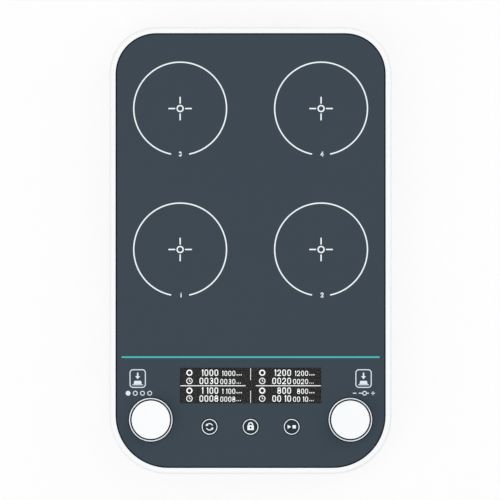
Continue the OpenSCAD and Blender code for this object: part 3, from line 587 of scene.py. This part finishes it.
class STIRRER_OT_finishes(bpy.types.Operator):
    """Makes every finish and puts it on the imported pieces"""

    bl_idname = "stirrer.finishes"
    bl_label = "Finishes"

    # The gasket's near-black foam finish is partly painted shade in the gap round the panel.
    own_finish = {"panel_gasket": "gasket_foam_shade"}

    def execute(self, context):
        self.make(context.scene.stirrer_colours)
        for name, node in frame["nodes"].items():
            record_slot = node.data.materials[0].name.split(".")[0]
            slot = node.material_slots[0]
            slot.link = "OBJECT"
            slot.material = bpy.data.materials[f"{self.own_finish.get(name, record_slot)}_finish"]
        return {"FINISHED"}

    def make(self, tones):
        """One finish for each material slot of the record, and those of bezels, print, foam and digits."""
        moulded("white_plastic", tones.casing[:])
        moulded("bezel_plastic", tones.bezel[:])
        moulded("grey_plastic", tones.base[:], rough=0.5, grain=1200.0, depth=0.00003)
        moulded("key_plastic", tones.key[:], rough=0.5, grain=1800.0, depth=0.00001, gloss=0.15)
        moulded("ring_plastic", tones.ring[:], rough=0.35, grain=1800.0, depth=0.000008)
        moulded("frame_plastic", linear(232, 228, 214), rough=0.55)
        moulded("black_plastic", linear(38, 38, 40), rough=0.42, grain=1300.0, depth=0.00002)
        moulded("rocker_plastic", linear(30, 30, 32), rough=0.3, grain=1700.0, depth=0.00001)
        moulded("holder_plastic", linear(74, 78, 84), rough=0.5, grain=1300.0, depth=0.00003)
        coated("slate_panel", tones.panel[:])
        # Gasket foam: a real sheet whose near-black tone is painted shade for the gap round the panel.
        foam("gasket_foam_shade", tones.gasket[:])
        rubber("foot_rubber", tones.rubber[:])
        pane("window_plastic", tones.window[:])
        cell("display_cell", tones.cell[:])
        board("circuit_board", linear(20, 92, 52))
        metal("zinc_steel", linear(196, 198, 200), waves=(900.0, 900.0, 120.0), rough=0.3)
        metal("shaft_steel", linear(206, 206, 204), waves=(200.0, 200.0, 3000.0), rough=0.22, blotch=0.05)
        metal("motor_metal", linear(150, 152, 156), waves=(400.0, 400.0, 1800.0), rough=0.36)
        metal("plate_metal", linear(200, 202, 204), waves=(30.0, 2200.0, 2200.0), rough=0.34)
        metal("magnet_nickel", linear(208, 204, 196), waves=(160.0, 160.0, 160.0), rough=0.16, blotch=0.06)
        metal("encoder_metal", linear(178, 178, 174), waves=(60.0, 1500.0, 1500.0), rough=0.3)
        stranded("motor_wire", linear(226, 132, 40), linear(240, 232, 214), pitch=0.00133)
        stranded("power_wire", linear(170, 36, 36), linear(34, 34, 36), pitch=0.002)
        stranded("ribbon_wire", linear(186, 190, 196), linear(196, 60, 56), pitch=0.00127)
        printed("ink", tones.ink[:])
        printed("faint_ink", tones.faint_ink[:])
        printed("accent_ink", tones.accent[:])
        printed("digits", tones.digits[:], glow=0.6)


class STIRRER_OT_stirring_marks(bpy.types.Operator):
    """Prints the open ring, the hub, the cross and the number of each stirring place on the panel"""

    bl_idname = "stirrer.stirring_marks"
    bl_label = "Stirring marks"

    arms = np.array([(1, 0), (0, 1), (-1, 0), (0, -1)])
    number_drop = 0.00115
    number_shifts = {"1": 0.0005, "2": 0.0007, "3": 0.0, "4": 0.0008}

    def execute(self, context):
        sizes = context.scene.stirrer_sizes
        half_gap = math.degrees(sizes.ring_gap) / 2
        for place in PLACES:
            centre = plan(middle(f"motor_shaft_{place}"))
            mark = Print(PANEL_TOP, sizes.print_rise)
            ring = arc(centre, sizes.ring_radius, half_gap - 90, 270 - half_gap, 2 * ROUND_STEPS)
            mark.line(ring, sizes.mark_line)
            mark.line(circle(centre, sizes.hub_radius), sizes.mark_line, closed=True)
            for arm in self.arms:
                mark.line([centre + arm * sizes.arm_start, centre + arm * sizes.arm_end], sizes.mark_line)
            foot = centre + (self.number_shifts[place], -sizes.ring_radius - self.number_drop)
            mark.numeral(place, foot, sizes.number_height, sizes.number_line, share=0.5)
            piece(f"stirring_mark_{place}", mark.shapes, "housing", "ink")
        return {"FINISHED"}


def press_sign(mark, centre):
    """An arrow down on to a knob that is seen from the side."""
    stem_line, stem_top, neck, tip, barb = 0.0011, 0.0044, 0.0018, -0.0004, 0.0019
    wide, narrow, foot, top, corner = 0.0030, 0.0026, -0.0042, -0.0017, 0.0007
    deck_line, deck, deck_reach = 0.0006, -0.0047, 0.0040
    head = [(0, tip), (barb, neck), (-barb, neck)]
    cap = [(wide, foot), (narrow, top), (-narrow, top), (-wide, foot)]
    mark.line([centre + (0, stem_top), centre + (0, neck)], stem_line)
    mark.patch(centre + head)
    mark.patch(centre + rounded(cap, (0, corner, corner, 0), closed=True))
    mark.line([centre + (-deck_reach, deck), centre + (deck_reach, deck)], deck_line)


def position_sign(mark, centre):
    """Four places in a row, the first of them chosen."""
    pitch, radius, line = 0.0054, 0.0015, 0.0006
    steps = np.arange(len(PLACES)) - (len(PLACES) - 1) / 2
    chosen, *others = (centre + (step * pitch, 0) for step in steps)
    mark.patch(circle(chosen, radius + line / 2))
    for spot in others:
        mark.line(circle(spot, radius), line, closed=True)


def setting_sign(mark, centre):
    """Minus, a slider and plus."""
    line, radius, slider, clear = 0.0007, 0.0014, 0.0006, 0.0018
    near, far, track_end = 0.0056, 0.0082, 0.0038
    heart, half = (near + far) / 2, (far - near) / 2
    minus = ((-far, 0), (-near, 0))
    plus = ((near, 0), (far, 0)), ((heart, -half), (heart, half))
    track = ((-track_end, 0), (slider - clear, 0)), ((slider + clear, 0), (track_end, 0))
    for start, end in (minus, *plus, *track):
        mark.line([centre + start, centre + end], line)
    mark.line(circle(centre + (slider, 0), radius), line, closed=True)


class STIRRER_OT_panel_marks(bpy.types.Operator):
    """Prints the coloured line, the outlined boxes over the knobs and the signs in front of the boxes"""

    bl_idname = "stirrer.panel_marks"
    bl_label = "Panel marks"

    knob_signs = {"position": (position_sign, 0.0009), "setting": (setting_sign, 0.0002)}

    def execute(self, context):
        sizes = context.scene.stirrer_sizes
        line = Print(PANEL_TOP, sizes.print_rise)
        centre = (0, WINDOW_MIDDLE[1] + sizes.line_place)
        line.patch(box_path(centre, sizes.line_length, sizes.line_width, sizes.line_width / 3))
        piece("coloured_line", line.shapes, "housing", "accent_ink")
        for knob, side in zip(KNOBS, (-1, 1)):
            mark = Print(PANEL_TOP, sizes.print_rise)
            centre = np.array((side * sizes.box_reach, WINDOW_MIDDLE[1] + sizes.box_place))
            outline = box_path(centre, sizes.box_width, sizes.box_height, sizes.box_corner)
            mark.line(outline, sizes.box_line, closed=True)
            press_sign(mark, centre)
            draw, shift = self.knob_signs[knob]
            draw(mark, centre + (shift, -sizes.sign_drop))
            piece(f"{knob}_marks", mark.shapes, "housing", "faint_ink")
        return {"FINISHED"}


def speed_sign(lit, centre):
    """A thick ring."""
    radius, line = 0.00185, 0.00095
    lit.line(circle(centre, radius), line, closed=True)


def time_sign(lit, centre):
    """A clock face with its two hands."""
    radius, line, hand_line = 0.0021, 0.0006, 0.00045
    long_hand, short_hand = (0, 0.0013), (0.0010, -0.0004)
    lit.line(circle(centre, radius), line, closed=True)
    lit.line([centre + long_hand, centre, centre + short_hand], hand_line)


class STIRRER_OT_display(bpy.types.Operator):
    """Builds the display cell and lights its four fields: dividers, speed rows and time rows"""

    bl_idname = "stirrer.display"
    bl_label = "Display"

    cell_gap, cell_edge, cell_corner = 0.0001, 0.0001, 0.0004
    lit_rise = 0.00003
    field_step = 0.0546
    row_feet = (0.00716, 0.00101, -0.00626, -0.01219)
    readings = (("1000", "0030", "1100", "0008"), ("1200", "0020", " 800", "0010"))
    sign_place, sign_lift = -0.0459, 0.0024
    large_end, large_pitch, large_line = -0.0243, 0.00374, 0.00066
    small_end, small_pitch, small_line = -0.0115, 0.0030, 0.0005
    unit_start, unit_lift, unit_corner = -0.0102, 0.0008, 0.00025
    unit_blocks = ((0.00155, 0.0008, 0.0009), (0.00125, 0.0006, 0.0007))
    level_dividers = (((-0.0527, -0.0002), (-0.0038, -0.0002)), ((0.0039, -0.0002), (0.0527, -0.0002)))
    upright_dividers = (((0, 0.0131), (0, 0.0039)), ((0, -0.0039), (0, -0.0131)))
    upright_share = 0.7

    def execute(self, context):
        sizes = context.scene.stirrer_sizes
        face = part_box("display_window")[0].z - self.cell_gap
        self.build_cell(face)
        lit = Print(face, self.lit_rise)
        for dividers, share in ((self.level_dividers, 1.0), (self.upright_dividers, self.upright_share)):
            for start, end in dividers:
                lit.line([WINDOW_MIDDLE + start, WINDOW_MIDDLE + end], sizes.divider_line * share)
        for field, readings in enumerate(self.readings):
            for row, reading in enumerate(readings):
                foot = WINDOW_MIDDLE + (field * self.field_step, self.row_feet[row])
                sign = (speed_sign, time_sign)[row % 2]
                sign(lit, foot + (self.sign_place, self.sign_lift))
                self.digits(lit, reading, foot + (self.large_end, 0), self.large_pitch,
                            sizes.digit_height, self.large_line)
                self.digits(lit, reading, foot + (self.small_end, 0), self.small_pitch,
                            sizes.small_digit_height, self.small_line)
                self.unit(lit, foot, *self.unit_blocks[row % 2])
        piece("display_digits", lit.shapes, "housing", "digits")
        return {"FINISHED"}

    def build_cell(self, face):
        """The glass cell: a plate behind the panel, and a face with its edges taken off that rises in the
        opening to just under the pane."""
        low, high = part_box("display_glass")
        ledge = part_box("top_panel")[0].z - self.cell_gap
        plate = plan(high - low)
        raised = plan(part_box("display_window")[1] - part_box("display_window")[0])
        steps = (
            (plate, low.z), (plate, ledge), (raised, ledge), (raised, face - self.cell_edge),
            (raised - 2 * self.cell_edge, face),
        )
        loops = [level(box_path(WINDOW_MIDDLE, *size, self.cell_corner), height) for size, height in steps]
        piece("display_cell", [lofted(loops)], "housing", "display_cell", ("display_glass",))

    def digits(self, lit, reading, end, pitch, height, line):
        """A row of numerals, each at the right of its cell, up to end."""
        for back, sign in enumerate(reversed(reading)):
            if sign in NUMERALS:
                lit.numeral(sign, end - (back * pitch, 0), height, line, share=1.0)

    def unit(self, lit, foot, pitch, width, height):
        """Three small blocks where a unit would stand."""
        for block in range(3):
            centre = foot + (self.unit_start + block * pitch, self.unit_lift)
            lit.patch(box_path(centre, width, height, self.unit_corner))


class STIRRER_OT_knobs(bpy.types.Operator):
    """Turns the two knobs with their grip flutes, and the bezel ring round each"""

    bl_idname = "stirrer.knobs"
    bl_label = "Knobs and bezels"

    flutes, flute_steps, grip_steps = 60, 8, 11
    skirt, hub, hub_lift = 0.0020, 0.0060, 0.0027
    bore_gap, roof_gap, bezel_gap = 0.00003, 0.0004, 0.00105
    grip_inset, lead_in, edge, flat_inset = 0.0025, 0.0006, 0.0004, 0.0022
    under_rounds = (0, 0.0003, 0.0003, 0.0004, 0.0006, 0.0003, 0.0002, 0.0002, 0)
    dish_steps, dish_reach = 12, 0.98
    bezel_rounds = (0.0001,) * 4

    def execute(self, context):
        sizes = context.scene.stirrer_sizes
        bezel_low, bezel_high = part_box("knob_bezels")
        outer = (bezel_high.y - bezel_low.y) / 2
        rings = []
        for knob in KNOBS:
            low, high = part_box(f"{knob}_knob")
            centre, radius = (low + high) / 2, (high.x - low.x) / 2
            self.cap(knob, sizes, centre, radius, low.z, high.z)
            span = (radius + self.bezel_gap, outer, bezel_low.z, bezel_high.z)
            rings.append(lip_ring(centre, *span, self.bezel_rounds, 2 * ROUND_STEPS))
        piece("knob_bezel_rings", rings, "housing", "bezel_plastic", ("knob_bezels",))
        return {"FINISHED"}

    def cap(self, knob, sizes, centre, radius, low, high):
        """A hollow cap with a hub: its profile runs from the bore's end out under the roof, down the skirt,
        up the fluted grip and in over the top, which sinks to its middle by a squared sine."""
        shaft_low, shaft_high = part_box(f"{knob}_shaft")
        bore = (shaft_high.x - shaft_low.x) / 2 + self.bore_gap
        roof, hub_foot, inside = shaft_high.z + self.roof_gap, low + self.hub_lift, radius - self.skirt
        grip = np.linspace(low + self.grip_inset, high - self.grip_inset, self.grip_steps)
        under = rounded(
            [(bore, roof), (bore, hub_foot), (self.hub, hub_foot), (self.hub, roof), (inside, roof),
             (inside, low), (radius - self.lead_in / 2, low), (radius, low + self.lead_in),
             (radius, grip[0])],
            self.under_rounds,
        )
        band = np.stack([np.full(len(grip), radius), grip], axis=1)[1:]
        flat = radius - self.flat_inset
        over = rounded([band[-1], (radius, high), (flat, high)], (0, self.edge, 0))[1:]
        part = np.linspace(0, self.dish_reach, self.dish_steps)[1:]
        dish = np.stack([flat * (1 - part), high - sizes.knob_dish * np.sin(part * np.pi / 2) ** 2], axis=1)
        profile = np.concatenate([under, band, over, dish])
        share = np.linspace(0, 1, len(grip))[1:]
        flute = sizes.flute_depth * np.sqrt(np.sin(np.pi * share).clip(0))
        depths = np.concatenate([np.zeros(len(under)), flute, np.zeros(len(over) + len(dish))])
        steps = self.flutes * self.flute_steps
        shape = turned(profile, centre, flutes=self.flutes, depths=depths, steps=steps)
        body, replaced = f"{knob}_knob_body", (f"{knob}_knob",)
        piece(f"{knob}_knob_cap", [shape], body, "white_plastic", replaced)


def sync_sign(mark, centre):
    """Two arrows that chase each other round a circle."""
    radius, line, head, head_reach = 0.0024, 0.0007, 0.0011, 0.00165
    first, sweep, half_turn = 24, 112, 180
    for start in (first, first + half_turn):
        mark.line(arc(centre, radius, start, start + sweep), line)
        tip = math.radians(start + sweep)
        out = np.array((math.cos(tip), math.sin(tip)))
        ahead = np.array((-out[1], out[0]))
        root = centre + radius * out
        mark.patch([root + head * out, root + head_reach * ahead, root - head * out])


def lock_sign(mark, centre):
    """Padlock: a rounded body round an open keyhole, and a shackle."""
    width, height, corner, drop, keyhole = 0.0048, 0.0037, 0.0004, 0.0006, 0.00075
    line, bow, bow_lift, leg = 0.0009, 0.0015, 0.0016, 0.0010
    heart = centre + (0, -drop)
    body = box_path(heart, width, height, corner)
    start = math.degrees(math.atan2(*(body[0] - heart)[::-1]))
    hole = arc(heart, keyhole, start, start + 360, len(body) + 1)[:-1]
    mark.holed_patch(body, hole)
    shackle = np.concatenate([[(bow, leg)], arc((0, bow_lift), bow, 0, 180), [(-bow, leg)]])
    mark.line(centre + shackle, line)


def run_sign(mark, centre):
    """A triangle for start and a square for stop."""
    back, tip, half = -0.0031, -0.0004, 0.0015
    stop, side, corner = 0.0019, 0.0025, 0.0002
    mark.patch(centre + [(back, -half), (tip, 0), (back, half)])
    mark.patch(box_path(centre + (stop, 0), side, side, corner))


class STIRRER_OT_keys(bpy.types.Operator):
    """Turns the three keys and their rings, and prints a sign on each key"""

    bl_idname = "stirrer.keys"
    bl_label = "Keys"

    key_signs = {"sync": sync_sign, "lock": lock_sign, "run": run_sign}
    flange_width, flange_rise = 0.00125, 0.0012
    post, skin, top_band = 0.00175, 0.0016, 0.0012
    cap_rounds = (0, 0.0002, 0.0002, 0.0003, 0.0002, 0.0002, 0.0002, 0.0001, 0.00035, 0)
    ring_gap, ring_rounds = 0.0004, (0.0001, 0.0001, 0.0002, 0.0003)

    def execute(self, context):
        ring_low, ring_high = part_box("key_rings")
        outer = (ring_high.y - ring_low.y) / 2
        rings = []
        for key in KEYS:
            low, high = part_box(f"{key}_key")
            centre, flange = (low + high) / 2, (high.x - low.x) / 2
            radius = flange - self.flange_width
            self.cap(key, centre, flange, radius, low.z, high.z)
            mark = Print(high.z, context.scene.stirrer_sizes.print_rise)
            self.key_signs[key](mark, plan(centre))
            piece(f"{key}_key_sign", mark.shapes, f"{key}_key_body", "ink")
            span = (radius + self.ring_gap, outer, ring_low.z, ring_high.z)
            rings.append(lip_ring(centre, *span, self.ring_rounds))
        piece("key_trim_rings", rings, "housing", "ring_plastic", ("key_rings",))
        return {"FINISHED"}

    def cap(self, key, centre, flange, radius, low, high):
        """A hollow cap with a post: its profile runs from the post's foot up under the roof, down to the
        flange, round it and up over the rounded edge to the flat top."""
        roof, inside, ledge = high - self.skin, radius - self.skin, low + self.flange_rise
        profile = rounded(
            [(self.post / 2, low), (self.post, low), (self.post, roof), (inside, roof), (inside, low),
             (flange, low), (flange, ledge), (radius, ledge), (radius, high),
             (radius - self.top_band, high)],
            self.cap_rounds,
        )
        shape = turned(profile, centre)
        piece(f"{key}_key_cap", [shape], f"{key}_key_body", "key_plastic", (f"{key}_key",))


class STIRRER_OT_feet(bpy.types.Operator):
    """Turns the four rubber feet with round grooves under them"""

    bl_idname = "stirrer.feet"
    bl_label = "Feet"

    radius, tread, grooves = 0.009, 0.0068, 3
    tread_start, tread_steps = 0.02, 48
    toe_inset, neck_inset = 0.0012, 0.0002
    flare_rise, neck_rise, shoulder_rise = 0.0030, 0.0044, 0.0050
    side_rounds = (0, 0.0008, 0.0006, 0.0002, 0.0003, 0.0002, 0)

    def execute(self, context):
        low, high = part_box("rubber_feet")
        reach = plan(high - low) / 2 - self.radius
        profile = self.profile(context.scene.stirrer_sizes.foot_groove, low.z, high.z)
        sides = [(x, y) for x in (-1, 1) for y in (-1, 1)]
        shapes = [turned(profile, side * reach) for side in np.array(sides)]
        piece("bench_feet", shapes, "housing", "foot_rubber", ("rubber_feet",))
        return {"FINISHED"}

    def profile(self, groove, low, high):
        """From the middle of the tread out over its grooves, whose depth follows one cosine wave each, then
        up the flared side to the shoulder that the base pan holds."""
        share = np.linspace(self.tread_start, 1, self.tread_steps)
        lift = groove * (1 - np.cos(2 * np.pi * self.grooves * share)) / 2
        tread = np.stack([self.tread * share, low + lift], axis=1)
        toe, neck = self.radius - self.toe_inset, self.radius - self.neck_inset
        side = rounded(
            [tread[-1], (toe, low), (neck, low + self.flare_rise), (neck, low + self.neck_rise),
             (self.radius, low + self.shoulder_rise), (self.radius, high), (self.radius / 2, high)],
            self.side_rounds,
        )
        return np.concatenate([tread, side[1:]])


class STIRRER_OT_rocker_marks(bpy.types.Operator):
    """Prints the bar for on and the ring for off on the two faces of the power rocker"""

    bl_idname = "stirrer.rocker_marks"
    bl_label = "Rocker marks"

    face_reach, mark_reach = 0.0034, 0.0040
    bar, ring, line = 0.0032, 0.0015, 0.0007

    def execute(self, context):
        joint = next(joint for joint in frame["joints"] if joint["name"] == "power_rocker_tip")
        throw = math.radians(joint["range_deg"][1])
        ridge = np.array(joint["pos_m"]) + self.face_reach * self.out(throw / -2)
        shapes = []
        for side in (-1, 1):
            face = (side - 1) * throw / 2
            across, out = self.out(face - math.pi / 2), self.out(face)
            mark = Print(0, context.scene.stirrer_sizes.print_rise)
            if side < 0:
                mark.line([(0, -self.bar / 2), (0, self.bar / 2)], self.line)
            else:
                mark.line(circle((0, 0), self.ring), self.line, closed=True)
            axes, shift = (-across, (0, 0, 1), out), ridge + side * self.mark_reach * across
            shapes += [turned_to(shape, axes, shift) for shape in mark.shapes]
        piece("rocker_marks", shapes, "rocker_body", "ink")
        return {"FINISHED"}

    def out(self, angle):
        """The way straight out of the rear wall, turned about the upright axis."""
        return np.array((-math.sin(angle), math.cos(angle), 0))


class STIRRER_OT_stage(bpy.types.Operator):
    """Sets the pale floor, the soft lights and the camera straight above"""

    bl_idname = "stirrer.stage"
    bl_label = "Stage"

    view_width, view_shift, view_height = 0.375, (-0.00046, 0.00041), 1.0
    view_clip = (0.01, 20.0)
    floor_reach, floor_steps, floor_drop = 6.0, 13, 0.0001
    floor_white, surround_light = 0.85, 0.62
    paper_tones = ((0.92, 0.92, 0.92), (0.94, 0.94, 0.94))
    lamp_size = 1.5
    lamps = {"key_light": ((-0.7, -0.5, 1.7), 10.1), "fill_light": ((0.8, 0.7, 1.6), 8.8)}

    def execute(self, context):
        scene = context.scene
        scene.view_settings.view_transform = "Standard"
        self.floor(scene)
        self.surround(scene)
        for name, (place, power) in self.lamps.items():
            self.lamp(scene, name, place, power)
        data = bpy.data.cameras.new("camera")
        data.type = "ORTHO"
        data.ortho_scale = self.view_width
        data.clip_start, data.clip_end = self.view_clip
        camera = bpy.data.objects.new("camera", data)
        camera.location = (*self.view_shift, self.view_height)
        scene.collection.objects.link(camera)
        scene.camera = camera
        return {"FINISHED"}

    def seen(self, tree):
        """1 for a ray from the camera, a reflection or a clear pane."""
        camera, glossy, clear = (
            tree.add("ShaderNodeLightPath", out=kind)
            for kind in ("Is Camera Ray", "Is Glossy Ray", "Is Transmission Ray")
        )
        return camera.maths("MINIMUM", camera + glossy + clear, 1.0)

    def floor(self, scene):
        """A wide sheet: height nil over a square grid of x and y."""
        tree = finish_tree("floor")
        paper = tree.mix(tree.noise(3.0), *self.paper_tones)
        matt = tree.add("ShaderNodeBsdfDiffuse", Color=paper)
        white = tree.add("ShaderNodeEmission", Color=WHITE, Strength=1.0)
        share = self.seen(tree) * self.floor_white
        shader = tree.add("ShaderNodeMixShader", Fac=share, Shader=matt, Shader_001=white)
        tree.add("ShaderNodeOutputMaterial", Surface=shader)
        step = np.linspace(-self.floor_reach, self.floor_reach, self.floor_steps)
        x, y = np.meshgrid(step, step)
        points = level(np.stack([x.ravel(), y.ravel()], axis=1), -self.floor_drop)
        faces = grid_faces(self.floor_steps, self.floor_steps, False, False)
        mesh = bpy.data.meshes.new("floor")
        mesh.from_pydata(points.tolist(), [], faces.tolist())
        mesh.materials.append(bpy.data.materials["floor_finish"])
        floor = bpy.data.objects.new("floor", mesh)
        scene.collection.objects.link(floor)

    def surround(self, scene):
        """White where it is seen or mirrored, and a soft even light elsewhere."""
        scene.world = bpy.data.worlds.new("surround")
        tree = Tree(scene.world)
        strength = self.surround_light + self.seen(tree) * (1 - self.surround_light)
        sky = tree.add("ShaderNodeBackground", Color=WHITE, Strength=strength)
        tree.add("ShaderNodeOutputWorld", Surface=sky)

    def lamp(self, scene, name, place, power):
        """A square soft light that looks at the middle of the body."""
        data = bpy.data.lights.new(name, "AREA")
        data.size, data.energy = self.lamp_size, power
        lamp = bpy.data.objects.new(name, data)
        lamp.location = place
        lamp.rotation_euler = (-Vector(place)).to_track_quat("-Z", "Y").to_euler()
        scene.collection.objects.link(lamp)


OPERATORS = (
    STIRRER_OT_finishes, STIRRER_OT_stirring_marks, STIRRER_OT_panel_marks, STIRRER_OT_display,
    STIRRER_OT_knobs, STIRRER_OT_keys, STIRRER_OT_feet, STIRRER_OT_rocker_marks, STIRRER_OT_stage,
)


class STIRRER_PT_dressing(bpy.types.Panel):
    """Lists the steps that dress the stirrer, with their sizes and colours"""

    bl_label = "Stirrer dressing"
    bl_idname = "STIRRER_PT_dressing"
    bl_space_type = "VIEW_3D"
    bl_region_type = "UI"
    bl_category = "Stirrer"

    def draw(self, context):
        column = self.layout.column()
        for step in OPERATORS:
            column.operator(step.bl_idname)
        for group in (context.scene.stirrer_sizes, context.scene.stirrer_colours):
            for name in group.__annotations__:
                column.prop(group, name)


CLASSES = (StirrerSizes, StirrerColours, *OPERATORS, STIRRER_PT_dressing)


def register():
    """Registers the classes and hangs the sizes and colours on the scene."""
    for item in CLASSES:
        bpy.utils.register_class(item)
    bpy.types.Scene.stirrer_sizes = bpy.props.PointerProperty(type=StirrerSizes)
    bpy.types.Scene.stirrer_colours = bpy.props.PointerProperty(type=StirrerColours)


def unregister():
    """Takes back what register did."""
    del bpy.types.Scene.stirrer_sizes
    del bpy.types.Scene.stirrer_colours
    for item in reversed(CLASSES):
        bpy.utils.unregister_class(item)


def main():
    """Dresses the stirrer step by step."""
    register()
    bpy.ops.stirrer.finishes()
    bpy.ops.stirrer.stirring_marks()
    bpy.ops.stirrer.panel_marks()
    bpy.ops.stirrer.display()
    bpy.ops.stirrer.knobs()
    bpy.ops.stirrer.keys()
    bpy.ops.stirrer.feet()
    bpy.ops.stirrer.rocker_marks()
    bpy.ops.stirrer.stage()


if __name__ == "__main__":
    main()
